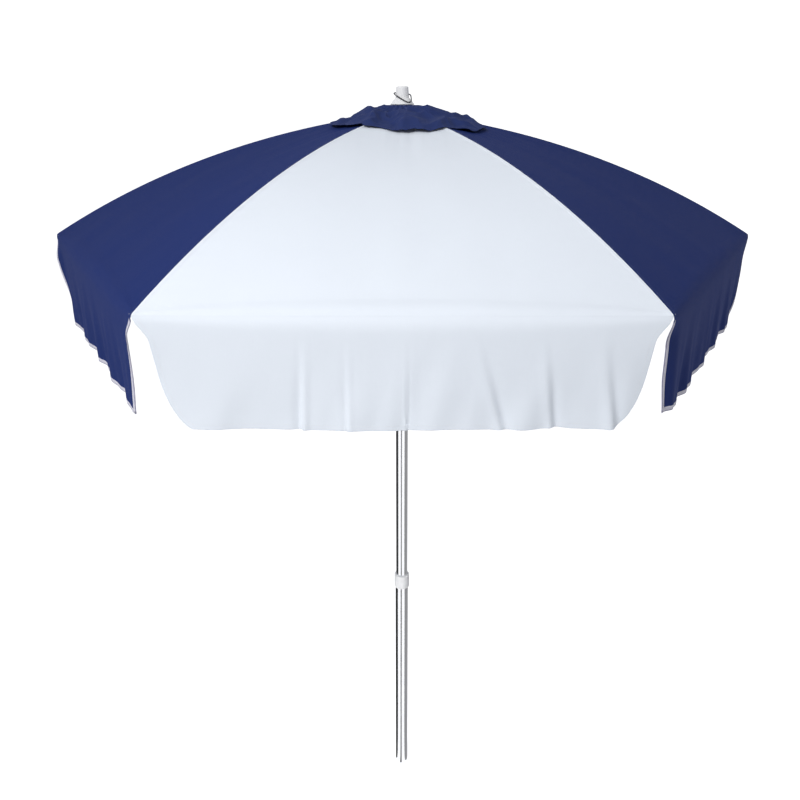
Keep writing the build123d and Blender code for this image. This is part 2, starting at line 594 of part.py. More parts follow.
HEM_TURN = along_middle(FABRIC_CURVE, HEM_RADIUS)
VENT_TURN = along_middle(FABRIC_CURVE, VENT_RADIUS)
PANEL_ARC = VENT_TURN - HEM_TURN
INNER_CURVE = FABRIC_CURVE - FABRIC_THICKNESS
VALANCE_START = HEM_MIDDLE + VALANCE_GAP
WHITE_INSET = 14  # of a pale flap's upper corners from the seam
WHITE_TAPER = 34  # further inset of its lower corners
WHITE_ROUND = 55
NAVY_INSET = 1
NAVY_TAPER = 45
NAVY_ROUND = 8
BLANK_MARGIN = 10  # of a panel's blank past its hem and its seams
for number in range(1, SECTORS + 1):
    middle_angle = SECTOR_ANGLE * (number - 0.5)
    side = upright(middle_angle)
    with BuildPart() as canopy_panel:
        with BuildSketch(side):
            with BuildLine():
                EllipticalCenterArc(
                    ELLIPSE_CENTRE, FABRIC_CURVE * SQUEEZE, FABRIC_CURVE, HEM_TURN, arc_size=PANEL_ARC
                )
                Line(middle_point(FABRIC_CURVE, VENT_TURN), middle_point(INNER_CURVE, VENT_TURN))
                EllipticalCenterArc(
                    ELLIPSE_CENTRE, INNER_CURVE * SQUEEZE, INNER_CURVE, HEM_TURN, arc_size=PANEL_ARC
                )
                Line(middle_point(INNER_CURVE, HEM_TURN), middle_point(FABRIC_CURVE, HEM_TURN))
            make_face()
        extrude(amount=HEM_HALF + BLANK_MARGIN, both=True)
        wedge_foot = HEM_HEIGHT - BLANK_MARGIN
        wedge = Plane(origin=(0, 0, wedge_foot), x_dir=side.x_dir, z_dir=(0, 0, 1))
        wedge_apex = 2 * SEAM_GAP
        with BuildSketch(wedge):
            with BuildLine():
                Polyline(
                    (wedge_apex, 0),
                    (HEM_RADIUS, (HEM_RADIUS - wedge_apex) * tan(radians(HALF_SECTOR))),
                    (HEM_RADIUS, -(HEM_RADIUS - wedge_apex) * tan(radians(HALF_SECTOR))),
                    close=True,
                )
            make_face()
        extrude(amount=FABRIC_CURVE, mode=Mode.INTERSECT)
    finish(canopy_panel.part, f"canopy_panel_{number}")

    pale = number % 2 == 1
    inset = WHITE_INSET if pale else NAVY_INSET
    taper = WHITE_TAPER if pale else NAVY_TAPER
    hanging = Plane(
        origin=side.from_local_coords((VALANCE_START, HEM_HEIGHT)),
        x_dir=side.z_dir,
        z_dir=side.x_dir,
    )
    with BuildPart() as valance:
        with BuildSketch(hanging) as flap:
            with BuildLine():
                Polyline(
                    (-HEM_HALF + inset, 0),
                    (-HEM_HALF + inset + taper, VALANCE_DROP),
                    (HEM_HALF - inset - taper, VALANCE_DROP),
                    (HEM_HALF - inset, 0),
                    close=True,
                )
            make_face()
            corners = flap.vertices().group_by(Axis.Y)[-1]
            fillet(corners, WHITE_ROUND if pale else NAVY_ROUND)
        extrude(amount=FABRIC_THICKNESS)
    finish(valance.part, f"valance_{number}")
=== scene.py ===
import json
import math

import bmesh
import bpy
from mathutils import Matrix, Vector, noise


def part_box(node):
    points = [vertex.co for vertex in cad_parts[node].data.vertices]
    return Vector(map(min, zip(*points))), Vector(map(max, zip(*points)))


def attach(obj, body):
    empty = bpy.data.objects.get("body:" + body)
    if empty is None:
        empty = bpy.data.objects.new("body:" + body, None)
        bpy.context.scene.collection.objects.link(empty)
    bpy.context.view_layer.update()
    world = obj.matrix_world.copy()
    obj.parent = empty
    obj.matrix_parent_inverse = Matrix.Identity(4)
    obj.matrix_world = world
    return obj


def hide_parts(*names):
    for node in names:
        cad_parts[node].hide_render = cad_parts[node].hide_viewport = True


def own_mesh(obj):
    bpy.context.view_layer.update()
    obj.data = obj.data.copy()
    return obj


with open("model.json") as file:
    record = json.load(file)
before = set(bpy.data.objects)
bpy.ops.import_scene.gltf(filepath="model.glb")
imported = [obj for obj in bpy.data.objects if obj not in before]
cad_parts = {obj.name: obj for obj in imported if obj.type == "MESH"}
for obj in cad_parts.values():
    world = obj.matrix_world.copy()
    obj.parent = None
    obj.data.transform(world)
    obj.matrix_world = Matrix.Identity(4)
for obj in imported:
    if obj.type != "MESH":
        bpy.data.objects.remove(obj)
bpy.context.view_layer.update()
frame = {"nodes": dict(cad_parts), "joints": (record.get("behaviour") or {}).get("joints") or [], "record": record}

bl_info = {
    "name": "Patio Umbrella",
    "version": (1, 0, 0),
    "blender": (4, 5, 0),
    "location": "View3D > Sidebar > Umbrella",
    "description": "Makes the cloth, trim and finishes of a six-panel umbrella around its frame",
    "category": "Add Mesh",
}

JOINTS = {joint["name"]: joint for joint in frame["joints"]}
SECTORS = 6
SECTOR_TURN = math.tau / SECTORS
HALF_TURN = SECTOR_TURN / 2
SQUEEZE = math.cos(HALF_TURN)  # of a length along a rib, measured along a panel's middle
SPREAD = math.tan(HALF_TURN)

# the ribs and the cloth over them follow circles about one centre of curvature
RIB_HINGE = JOINTS["rib_1_fold"]["pos_m"]
RIB_CURVE = 2.217
RIB_SLOPE = math.radians(6.5)
CLOTH_CURVE = 2.224
CENTRE_OUT = RIB_HINGE[0] - RIB_CURVE * math.sin(RIB_SLOPE)
CENTRE_UP = RIB_HINGE[2] - RIB_CURVE * math.cos(RIB_SLOPE)
HEM_RADIUS = 0.915
VENT_RADIUS = 0.130
VENT_SLOPE = math.asin((VENT_RADIUS - CENTRE_OUT) / CLOTH_CURVE)
HEM_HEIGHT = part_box("valance_5")[1].z
FLAP_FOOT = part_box("valance_5")[0].z
FLAP_PLANE = 0.7945  # of a hanging flap, from the pole's axis
SEAM_GAP = 0.0004
CLOTH = 0.0007


# ---- settings ----
class ClothSettings(bpy.types.PropertyGroup):
    sag: bpy.props.FloatProperty(
        name="Sag", description="How far a panel sinks between two ribs",
        default=0.007, min=0, unit="LENGTH", subtype="DISTANCE")
    fold_depth: bpy.props.FloatProperty(
        name="Fold Depth", description="Depth of the folds in a hanging flap",
        default=0.009, min=0, unit="LENGTH", subtype="DISTANCE")
    binding: bpy.props.FloatProperty(
        name="Binding Width", description="Width of the tape on the edge of a navy flap",
        default=0.009, min=0.002, unit="LENGTH", subtype="DISTANCE")
    hem: bpy.props.FloatProperty(
        name="Hem Width", description="Width of the turned hem of a white flap",
        default=0.011, min=0.002, unit="LENGTH", subtype="DISTANCE")
    closed_share: bpy.props.FloatProperty(
        name="Closed Share", description="Width of a panel when closed, as a share of its open width",
        default=0.17, min=0.05, max=1, subtype="FACTOR")
    white: bpy.props.FloatVectorProperty(
        name="White", description="Colour of the white cloth",
        default=(0.792, 0.838, 0.90), size=3, min=0, max=1, subtype="COLOR")
    navy: bpy.props.FloatVectorProperty(
        name="Navy", description="Colour of the navy cloth",
        default=(0.0115, 0.026, 0.132), size=3, min=0, max=1, subtype="COLOR")
    # painted light: the cap's navy is set lighter than the panels' navy to stand in for the light its crumpled
    # folds catch
    cap: bpy.props.FloatVectorProperty(
        name="Cap", description="Colour of the vent cap's thinner navy cloth",
        default=(0.021, 0.036, 0.134), size=3, min=0, max=1, subtype="COLOR")
    tape: bpy.props.FloatVectorProperty(
        name="Tape", description="Colour of the binding tape",
        default=(0.60, 0.58, 0.68), size=3, min=0, max=1, subtype="COLOR")


class StitchSettings(bpy.types.PropertyGroup):
    spacing: bpy.props.FloatProperty(
        name="Spacing", description="Distance from one stitch to the next",
        default=0.0042, min=0.001, unit="LENGTH", subtype="DISTANCE")
    length: bpy.props.FloatProperty(
        name="Length", description="Length of one stitch",
        default=0.003, min=0.0005, unit="LENGTH", subtype="DISTANCE")
    thread: bpy.props.FloatProperty(
        name="Thread", description="Thickness of the thread",
        default=0.0006, min=0.0001, unit="LENGTH", subtype="DISTANCE")


class StageSettings(bpy.types.PropertyGroup):
    camera_distance: bpy.props.FloatProperty(
        name="Camera Distance", description="Level distance from the pole to the camera",
        default=2.040, min=0.1, unit="LENGTH", subtype="DISTANCE")
    camera_height: bpy.props.FloatProperty(
        name="Camera Height", description="Height of the camera",
        default=2.200, min=0, unit="LENGTH", subtype="DISTANCE")
    camera_pitch: bpy.props.FloatProperty(
        name="Camera Pitch", description="How far the camera looks down",
        default=math.radians(21.92), unit="ROTATION", subtype="ANGLE")
    focal_length: bpy.props.FloatProperty(
        name="Focal Length", description="Focal length in millimetres",
        default=34.32, min=1)
    daylight: bpy.props.FloatProperty(
        name="Daylight", description="Strength of the even light from all round",
        default=0.41, min=0)


# ---- shaders ----
class Socket:
    """An output socket that sums can be written with, and the tree it belongs to."""

    def __init__(self, tree, link):
        self.tree = tree
        self.link = link

    def maths(self, operation, first, second):
        box = self.tree.nodes.new("ShaderNodeMath")
        box.operation = operation
        for place, value in enumerate((first, second)):
            if isinstance(value, Socket):
                self.tree.links.new(value.link, box.inputs[place])
            elif value is not None:
                box.inputs[place].default_value = value
        return Socket(self.tree, box.outputs[0])

    def __add__(self, other):
        return self.maths("ADD", self, other)

    def __sub__(self, other):
        return self.maths("SUBTRACT", self, other)

    def __rsub__(self, other):
        return self.maths("SUBTRACT", other, self)

    def __mul__(self, other):
        return self.maths("MULTIPLY", self, other)

    def sine(self):
        return self.maths("SINE", self, None)

    __radd__ = __add__
    __rmul__ = __mul__


class Finish:
    """A node material: one surface shader, and what varies over it."""

    def __init__(self, name, **constants):
        self.material = bpy.data.materials.new(name)
        self.material.use_nodes = True
        self.tree = self.material.node_tree
        self.shader = self.tree.nodes["Principled BSDF"]
        for socket, value in constants.items():
            self.shader.inputs[socket.replace("_", " ")].default_value = value

    def node(self, kind, settings=None, output=0, **values):
        box = self.tree.nodes.new(kind)
        for setting, value in (settings or {}).items():
            if setting == "stops":
                ramp = box.color_ramp.elements
                for stop, (place, colour) in zip(ramp, value):
                    stop.position = place
                    stop.color = colour
            else:
                setattr(box, setting, value)
        for name, value in values.items():
            socket = box.inputs[name.replace("_", " ")]
            if isinstance(value, Socket):
                self.tree.links.new(value.link, socket)
            else:
                socket.default_value = value
        return Socket(self.tree, box.outputs[output])

    def place(self):
        return self.node("ShaderNodeTexCoord", output="Object")

    def flat_place(self):
        return self.node("ShaderNodeUVMap", {"uv_map": "Flat"})

    def split(self, vector):
        first = self.node("ShaderNodeSeparateXYZ", Vector=vector)
        box = first.link.node
        return [Socket(self.tree, output) for output in box.outputs]

    def stretched(self, vector, scale):
        return self.node("ShaderNodeMapping", Vector=vector, Scale=scale)

    def cloud(self, vector, scale, detail=3.0, roughness=0.5):
        return self.node(
            "ShaderNodeTexNoise", Vector=vector, Scale=scale, Detail=detail, Roughness=roughness)

    def ramp(self, value, stops):
        return self.node("ShaderNodeValToRGB", {"stops": stops}, Fac=value)

    def blend(self, share, dark, light):
        box = self.tree.nodes.new("ShaderNodeMix")
        box.data_type = "RGBA"
        for place, value in ((0, share), (6, dark), (7, light)):
            if isinstance(value, Socket):
                self.tree.links.new(value.link, box.inputs[place])
            else:
                box.inputs[place].default_value = value if place == 0 else (*value, 1)
        return Socket(self.tree, box.outputs[2])

    def paint(self, colour=None, roughness=None, height=None, depth=0.001, strength=1.0):
        for name, value in (("Base Color", colour), ("Roughness", roughness)):
            if value is not None:
                self.tree.links.new(value.link, self.shader.inputs[name])
        if height is not None:
            relief = self.node("ShaderNodeBump", Height=height, Distance=depth, Strength=strength)
            self.tree.links.new(relief.link, self.shader.inputs["Normal"])
        return self.material


def shade(colour, factor):
    return tuple(min(1.0, part * factor) for part in colour)


WEAVE_PITCH = 0.0011
TAPE_RIB_PITCH = 0.0016
BRAID_TURNS = 2600.0  # radians of braid to the metre


def cloth_finish(name, colour, streaks, gloss):
    """Plain-woven canopy cloth: threads both ways, uneven yarn, and faint wear creases."""
    cloth = Finish(name, Specular_IOR_Level=gloss)
    flat = cloth.flat_place()
    across, along, _ = cloth.split(flat)
    turn = math.tau / WEAVE_PITCH
    threads = (across * turn).sine() * (along * turn).sine()
    yarn = cloth.cloud(cloth.stretched(flat, (900, 40, 1)), 1.0, 2.0)
    cross_yarn = cloth.cloud(cloth.stretched(flat, (40, 900, 1)), 1.0, 2.0)
    mottle = cloth.cloud(flat, 5.0, 4.0, 0.6)
    crumple = cloth.cloud(cloth.stretched(flat, (16, 3.2, 1)), 1.0, 4.0, 0.55)
    tone = mottle * 0.5 + yarn * 0.25 + cross_yarn * 0.25
    tint = cloth.blend(tone, shade(colour, 1 - streaks * 1.6), shade(colour, 1 + streaks * 1.4))
    height = threads * 0.10 + yarn * 0.12 + cross_yarn * 0.12 + crumple * 2.2
    rough = mottle * 0.14 + 0.74
    return cloth.paint(tint, rough, height, depth=0.0016, strength=0.35)


def tape_finish(name, colour):
    """Ribbed binding tape."""
    tape = Finish(name, Roughness=0.7, Sheen_Weight=0.3)
    flat = tape.flat_place()
    _, along, _ = tape.split(flat)
    ribs = (along * (math.tau / TAPE_RIB_PITCH)).sine()
    soil = tape.cloud(flat, 60.0, 3.0)
    tint = tape.blend(soil, shade(colour, 0.86), shade(colour, 1.1))
    return tape.paint(tint, soil * 0.2 + 0.6, ribs * 0.4 + soil, depth=0.0004, strength=0.5)


def thread_finish(name, colour):
    """Twisted sewing thread."""
    thread = Finish(name, Roughness=0.55, Sheen_Weight=0.3)
    speck = thread.cloud(thread.place(), 900.0, 2.0)
    tint = thread.blend(speck, shade(colour, 0.8), shade(colour, 1.15))
    return thread.paint(tint, speck * 0.2 + 0.45)


def cord_finish(name, colour):
    """Braided cord."""
    cord = Finish(name, Roughness=0.6, Sheen_Weight=0.4)
    place = cord.place()
    x, _, z = cord.split(place)
    braid = ((x + z) * BRAID_TURNS).sine() * ((x - z) * BRAID_TURNS).sine()
    speck = cord.cloud(place, 700.0, 2.0)
    tint = cord.blend(braid * 0.3 + speck * 0.7, shade(colour, 0.5), shade(colour, 1.8))
    return cord.paint(tint, speck * 0.2 + 0.5, braid + speck * 0.3, depth=0.0004, strength=0.6)


def tube_finish(name, colour):
    """Polished drawn aluminium: fine draw lines along the tube, handling scuffs and faint stains."""
    tube = Finish(name, Metallic=1.0)
    place = tube.place()
    lines = tube.cloud(tube.stretched(place, (900, 900, 3)), 1.0, 3.0)
    scuffs = tube.cloud(tube.stretched(place, (60, 60, 9)), 1.0, 5.0, 0.65)
    rings = tube.cloud(tube.stretched(place, (8, 8, 420)), 1.0, 2.0)
    stain = tube.cloud(place, 7.0, 3.0)
    worn = tube.ramp(scuffs, [(0.52, (0, 0, 0, 1)), (0.72, (1, 1, 1, 1))])
    tint = tube.blend(stain * 0.6 + lines * 0.4, shade(colour, 0.88), shade(colour, 1.04))
    rough = lines * 0.05 + stain * 0.05 + worn * 0.10 + 0.05
    height = lines * 0.6 + scuffs * 0.4 + rings * 0.2
    return tube.paint(tint, rough, height, depth=0.00012, strength=0.4)


def steel_finish(name, colour):
    """Zinc-plated steel with a fine crystal pattern."""
    steel = Finish(name, Metallic=1.0)
    place = steel.place()
    grain = steel.cloud(place, 420.0, 4.0)
    patch = steel.cloud(place, 60.0, 3.0)
    tint = steel.blend(patch, shade(colour, 0.8), shade(colour, 1.1))
    return steel.paint(tint, grain * 0.18 + 0.26, grain, depth=0.0001, strength=0.5)


def enamel_finish(name, colour):
    """Powder-coated steel: slight orange peel, rubbed and dusty in places."""
    enamel = Finish(name, Coat_Weight=0.25, Coat_Roughness=0.2)
    place = enamel.place()
    peel = enamel.cloud(place, 380.0, 2.0)
    dust = enamel.cloud(place, 16.0, 5.0, 0.6)
    tint = enamel.blend(dust, shade(colour, 0.86), shade(colour, 1.04))
    return enamel.paint(tint, dust * 0.2 + 0.30, peel, depth=0.0002, strength=0.35)


def plastic_finish(name, colour, gloss=0.38):
    """Moulded plastic: fine eroded grain, flow marks, and grime that gathers unevenly."""
    plastic = Finish(name, IOR=1.46)
    place = plastic.place()
    grain = plastic.cloud(place, 1400.0, 2.0)
    flow = plastic.cloud(plastic.stretched(place, (30, 30, 90)), 1.0, 3.0)
    grime = plastic.cloud(place, 45.0, 5.0, 0.65)
    tint = plastic.blend(grime * 0.7 + flow * 0.3, shade(colour, 0.90), shade(colour, 1.05))
    rough = grain * 0.10 + flow * 0.12 + gloss
    return plastic.paint(tint, rough, grain + flow * 0.5, depth=0.00025, strength=0.3)


def brass_finish(name, colour):
    """Machined brass with turning marks and light tarnish."""
    brass = Finish(name, Metallic=1.0)
    place = brass.place()
    marks = brass.cloud(brass.stretched(place, (500, 30, 500)), 1.0, 2.0)
    tarnish = brass.cloud(place, 140.0, 4.0)
    tint = brass.blend(tarnish, shade(colour, 0.62), shade(colour, 1.05))
    return brass.paint(tint, tarnish * 0.25 + 0.2, marks, depth=0.0001, strength=0.5)


FINISHES = {}


def make_finishes(settings):
    white = tuple(settings.white)
    navy = tuple(settings.navy)
    FINISHES.update(
        white_fabric=cloth_finish("White Canopy Cloth", white, 0.03, 0.15),
        navy_fabric=cloth_finish("Navy Canopy Cloth", navy, 0.10, 0.06),
        # painted light: the cap's cloth takes the lighter cap colour, a painted highlight standing in for the
        # light on its folds
        cap_fabric=cloth_finish("Navy Cap Cloth Painted Lighter", tuple(settings.cap), 0.16, 0.10),
        tape=tape_finish("Binding Tape", tuple(settings.tape)),
        white_thread=thread_finish("White Thread", (0.84, 0.85, 0.88)),
        navy_thread=thread_finish("Navy Thread", (0.05, 0.07, 0.20)),
        cord_black=cord_finish("Braided Cord", (0.035, 0.035, 0.04)),
        pole_aluminium=tube_finish("Drawn Aluminium", (0.86, 0.87, 0.89)),
        zinc_steel=steel_finish("Zinc Plated Steel", (0.66, 0.67, 0.68)),
        rib_enamel=enamel_finish("Rib Powder Coat", (0.76, 0.77, 0.78)),
        white_plastic=plastic_finish("White Moulding", (0.88, 0.88, 0.88)),
        dark_plastic=plastic_finish("Black Moulding", (0.022, 0.022, 0.025), 0.42),
        brass=brass_finish("Machined Brass", (0.72, 0.52, 0.22)),
    )


# ---- meshes ----
def unit(turn):
    return Vector((math.cos(turn), math.sin(turn), 0))


def crossways(turn):
    return Vector((-math.sin(turn), math.cos(turn), 0))


def middle_turn(number):
    """Direction of a panel's middle; panels count from 1."""
    return SECTOR_TURN * (number - 0.5)


def is_white(number):
    return number % 2 == 1


def cloth_of(number):
    return "white_fabric" if is_white(number) else "navy_fabric"


def ease(value, low=0.0, high=1.0):
    """Smooth step of a value between two limits."""
    share = min(1.0, max(0.0, (value - low) / (high - low)))
    return share * share * (3 - 2 * share)


def ripple(*place):
    """Seeded gradient noise, from -1 to 1."""
    return noise.noise(Vector((place + (0.0, 0.0, 0.0))[:3]))


def new_piece(name, points, faces, flats, finish):
    """A mesh object at the origin, with a UV map named Flat in metres of the uncut cloth."""
    mesh = bpy.data.meshes.new(name)
    mesh.from_pydata([tuple(point) for point in points], [], faces)
    mesh.update()
    layer = mesh.uv_layers.new(name="Flat")
    corners = [0.0] * (2 * len(mesh.loops))
    for index, loop in enumerate(mesh.loops):
        corners[2 * index:2 * index + 2] = flats[loop.vertex_index]
    layer.data.foreach_set("uv", corners)
    mesh.polygons.foreach_set("use_smooth", [True] * len(mesh.polygons))
    piece = bpy.data.objects.new(name, mesh)
    bpy.context.scene.collection.objects.link(piece)
    mesh.materials.append(FINISHES[finish])
    return piece


def grid_faces(rows, columns):
    return [
        (row * columns + col, row * columns + col + 1,
         (row + 1) * columns + col + 1, (row + 1) * columns + col)
        for row in range(rows - 1) for col in range(columns - 1)
    ]


def grid_piece(name, rows, columns, finish, place):
    """A sheet made of a grid; place(row share, column share) gives a point and its flat place."""
    points = []
    flats = []
    for row in range(rows):
        for col in range(columns):
            point, flat = place(row / (rows - 1), col / (columns - 1))
            points.append(point)
            flats.append(flat)
    return new_piece(name, points, grid_faces(rows, columns), flats, finish)


def plain_mesh(piece):
    """Turns what a piece's modifiers make into its own mesh."""
    graph = bpy.context.evaluated_depsgraph_get()
    graph.update()
    mesh = bpy.data.meshes.new_from_object(
        piece.evaluated_get(graph), preserve_all_data_layers=True, depsgraph=graph)
    piece.modifiers.clear()
    piece.data = mesh
    return piece


SHARP_EDGE = math.radians(50)


def thicken(piece, thickness, offset=-1.0):
    wall = piece.modifiers.new("Wall", "SOLIDIFY")
    wall.thickness = thickness
    wall.offset = offset
    plain_mesh(piece)
    piece.data.set_sharp_from_angle(angle=SHARP_EDGE)
    return piece


def fold_away(piece, number, body):
    """The piece rides on a panel's or flap's body."""
    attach(piece, body)
    turn = middle_turn(number)
    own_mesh(piece)


# ---- the canopy's shape ----
BEND_MIDDLE = 0.074  # length of the soft bend from panel to flap, at a panel's middle
BEND_CORNER = 0.012  # and at a rib
BEND_STEPS = 16
BEND_ROUNDS = 4  # of the search for the place where the bend starts


def over_rib(slope):
    return (CENTRE_OUT + CLOTH_CURVE * math.sin(slope), CENTRE_UP + CLOTH_CURVE * math.cos(slope))


def panel_pitch(slope):
    """Slope of a panel's middle where the rib beside it has a slope."""
    return math.atan2(math.sin(slope), SQUEEZE * math.cos(slope))


def bend_length(share):
    return BEND_CORNER + (BEND_MIDDLE - BEND_CORNER) * (1 - share * share) ** 0.6


def bend_path(share):
    """The profile from the panel through its bend, as (out, up, pitch) steps, and the rib slope
    where it starts. It ends upright on the flap's plane."""
    length = bend_length(share)
    slope = math.asin((HEM_RADIUS - CENTRE_OUT) / CLOTH_CURVE)
    for _ in range(BEND_ROUNDS):
        start = panel_pitch(slope)
        reach = 0.0
        for step in range(BEND_STEPS):
            pitch = start + (math.pi / 2 - start) * ease((step + 0.5) / BEND_STEPS)
            reach += math.cos(pitch) * length / BEND_STEPS
        out = (FLAP_PLANE - reach) / SQUEEZE
        slope = math.asin((out - CENTRE_OUT) / CLOTH_CURVE)
    out, up = over_rib(slope)
    steps = [(out * SQUEEZE, up, start)]
    for step in range(BEND_STEPS):
        pitch = start + (math.pi / 2 - start) * ease((step + 0.5) / BEND_STEPS)
        before = steps[-1]
        steps.append((
            before[0] + math.cos(pitch) * length / BEND_STEPS,
            before[1] - math.sin(pitch) * length / BEND_STEPS,
            pitch,
        ))
    return slope, steps


BEND_CACHE = {}


def bend_at(share):
    key = round(abs(share), 3)
    if key not in BEND_CACHE:
        BEND_CACHE[key] = bend_path(key)
    return BEND_CACHE[key]


def step_between(steps, position):
    index = min(len(steps) - 2, int(position))
    part = position - index
    first, second = steps[index], steps[index + 1]
    return [a + (b - a) * part for a, b in zip(first, second)]


def surface_point(number, out, up, across, pitch, lift):
    """A point of a panel: its profile place, moved out along its normal by the lift."""
    turn = middle_turn(number)
    normal_out = math.sin(pitch)
    normal_up = math.cos(pitch)
    return (
        unit(turn) * (out + lift * normal_out)
        + crossways(turn) * across
        + Vector((0, 0, up + lift * normal_up))
    )


PANEL_TOP_SHARE = 0.87  # of a panel's rows that lie above its bend
PANEL_ROWS = 88
PANEL_COLUMNS = 84

# how far each kind of relief stands off a panel
VENT_CREASE = 0.0016
LONG_CREASE = 0.0012
TIP_PULL = 0.0018
SEAM_PUCKER = 0.0009
PUCKER_REACH = 0.018  # from the seam


def panel_relief(number, down, share, out):
    """How far a panel stands off its ideal shape: sag, tension creases and puckered seams."""
    sag = bpy.context.scene.umbrella_cloth.sag
    flat = 1 - share * share
    relief = -sag * flat * math.sin(math.pi * min(1, down * 0.92 + 0.04)) ** 0.8
    # creases that run down from the gathered vent
    vent = (1 - ease(down, 0.0, 0.42)) * flat
    relief += VENT_CREASE * vent * ripple(share * out * 34, down * 1.5, number * 7.3)
    # long soft creases along the panel
    relief += LONG_CREASE * flat * ripple(share * out * 9, down * 2.2, number * 3.1 + 40)
    # pull lines from the two rib tips
    tip = ease(down, 0.72, 1.0) * ease(abs(share), 0.55, 0.98) * (1 - ease(abs(share), 0.97, 1.0))
    relief += TIP_PULL * tip * math.sin(28 * (1 - abs(share)) / (1.06 - down) + number)
    # puckers beside the seams
    edge = out * SPREAD * (1 - abs(share))
    pucker = math.exp(-edge / PUCKER_REACH) * ease(edge, 0.0, 0.004)
    relief += SEAM_PUCKER * pucker * math.sin(down * 160 + 3 * ripple(down * 20, number, share))
    return relief * (1 - ease(down, 0.84, 1.0))


def panel_point(number, down, share, lift=0.0):
    """Point and flat place on a panel; down runs 0 to 1 from vent to split line, share -1 to 1."""
    hem_slope, steps = bend_at(share)
    if down < PANEL_TOP_SHARE:
        slope = VENT_SLOPE + (hem_slope - VENT_SLOPE) * down / PANEL_TOP_SHARE
        rib_out, up = over_rib(slope)
        out = rib_out * SQUEEZE
        pitch = panel_pitch(slope)
    else:
        position = (down - PANEL_TOP_SHARE) / (1 - PANEL_TOP_SHARE) * BEND_STEPS / 2
        out, up, pitch = step_between(steps, position)
    across = (out * SPREAD - SEAM_GAP) * share
    relief = panel_relief(number, down, share, out)
    length = (down * (hem_slope - VENT_SLOPE)) * CLOTH_CURVE
    return surface_point(number, out, up, across, pitch, relief + lift), (across, -length)


FLAP_LENGTH = HEM_HEIGHT - FLAP_FOOT
FLAP_HALF = FLAP_PLANE * SPREAD - SEAM_GAP  # of a flap's width at the split line
FLAP_ROWS = 46
FLAP_COLUMNS = 190
CORNER_WIDTH = 0.052  # of a white flap's rounded lower corners
CORNER_HEIGHT = 0.105

# by flap and side: navy corners that hang as points and how far in each point is,
# and how far a navy flap's edges stand out
POINTED_CORNERS = {(4, 1): 0.075, (6, -1): 0.035, (2, 1): 0.05}
TURNED_OUT = {
    (2, -1): 0.008, (2, 1): 0.008, (4, -1): 0.014, (4, 1): 0.014, (6, -1): -0.015, (6, 1): -0.0045,
}

# how a flap's side edges are cut away from the seam
WHITE_SLIT = 0.020
WHITE_FLARE = 0.12
NAVY_EDGE = 0.001
NAVY_FLARE = 0.40
NAVY_CURVE = 3.0
NAVY_CURVE_START = 0.08

# along a flap's foot
FOOT_WAVE = 0.0018
FOOT_NICK = 0.002
SHORT_CORNER = 0.016  # of the sixth flap


def flap_inset(number, down, side):
    """How far a flap's side edge (-1 or 1) is in from the seam, at a drop in metres."""
    if is_white(number):
        cut = WHITE_SLIT * ease(down, 0.0, 0.045) + WHITE_FLARE * down
        low = max(0.0, 1 - (FLAP_LENGTH - down) / CORNER_HEIGHT)
        return cut + CORNER_WIDTH * (1 - math.sqrt(max(0.0, 1 - low * low)))
    if (number, side) in POINTED_CORNERS:
        reach = POINTED_CORNERS[number, side]
        return NAVY_EDGE + reach * (0.55 * ease(down, 0.0, 0.07) + 0.45 * down / FLAP_LENGTH)
    return NAVY_EDGE + NAVY_FLARE * down + NAVY_CURVE * max(0.0, down - NAVY_CURVE_START) ** 2


def foot_lift(number, share):
    """How much shorter a flap hangs at a place along its foot."""
    lift = FOOT_WAVE * ripple(share * 4.3, number * 3.3)
    if is_white(number):
        return lift + FOOT_NICK * math.exp(-((share - 0.72) / 0.07) ** 2)
    return lift + (SHORT_CORNER * ease(-share, 0.75, 1.0) if number == 6 else 0.0)


FLAP_CREASES = {
    # along the hem in shares, lean, width and depth of the few strong creases of each flap
    1: [(-0.62, 0.10, 0.05, 0.8), (-0.12, -0.06, 0.04, 0.9), (0.45, 0.10, 0.06, 0.7)],
    3: [(-0.50, 0.10, 0.05, 0.8), (0.10, 0.05, 0.05, 0.7), (0.66, -0.08, 0.05, 0.8)],
    5: [(-0.38, -0.02, 0.022, 0.9), (-0.21, 0.00, 0.016, 0.5), (0.02, 0.00, 0.010, -0.4),
        (0.33, 0.13, 0.035, -0.8), (0.56, 0.06, 0.030, -0.9), (0.79, 0.08, 0.040, -1.1)],
}


def flap_folds(number, share, down):
    """How far a flap stands out from its plane; down is a share of its length."""
    depth = bpy.context.scene.umbrella_cloth.fold_depth
    grow = ease(down, 0.04, 0.9) * (0.35 + 0.65 * down)
    if is_white(number):
        wave = 0.60 * ripple(share * 3.1 - down * 0.5 * share, down * 0.8, number * 5.7)
        wave += 0.62 * ripple(share * 9.0 + down * 0.9, down * 1.1, number * 9.1)
        for place, lean, width, strength in FLAP_CREASES[number]:
            offset = (share - place - lean * (down - 0.5)) / width
            wave += strength * 0.78 * math.exp(-offset * offset) * math.tanh(offset * 2.5)
        lean_out = 0.004 * down * down
        side = ease(abs(share), 0.80, 1.0)
        curl = -0.010 * side * ease(down, 0.15, 0.7)
        return depth * grow * wave + lean_out + curl
    bunch = share + 0.035 * ripple(share * 2.3, number * 2.9)
    phase = math.tau * 2.9 * bunch + number * 1.7
    wave = math.sin(phase + 0.9 * ripple(share * 5, down * 1.4, number))
    wave += 0.35 * math.sin(2.3 * phase + 1.2 + 1.6 * ripple(share * 6, down, number + 9))
    wave += 0.30 * ripple(share * 13, down * 1.5, number * 4.1)
    side = ease(abs(share), 0.84, 1.0)
    turn_out = TURNED_OUT[number, -1 if share < 0 else 1]
    middle_height = ease(down, 0.04, 0.30) * (1 - ease(down, 0.55, 1.0))
    return depth * 0.50 * grow * wave + turn_out * side * middle_height


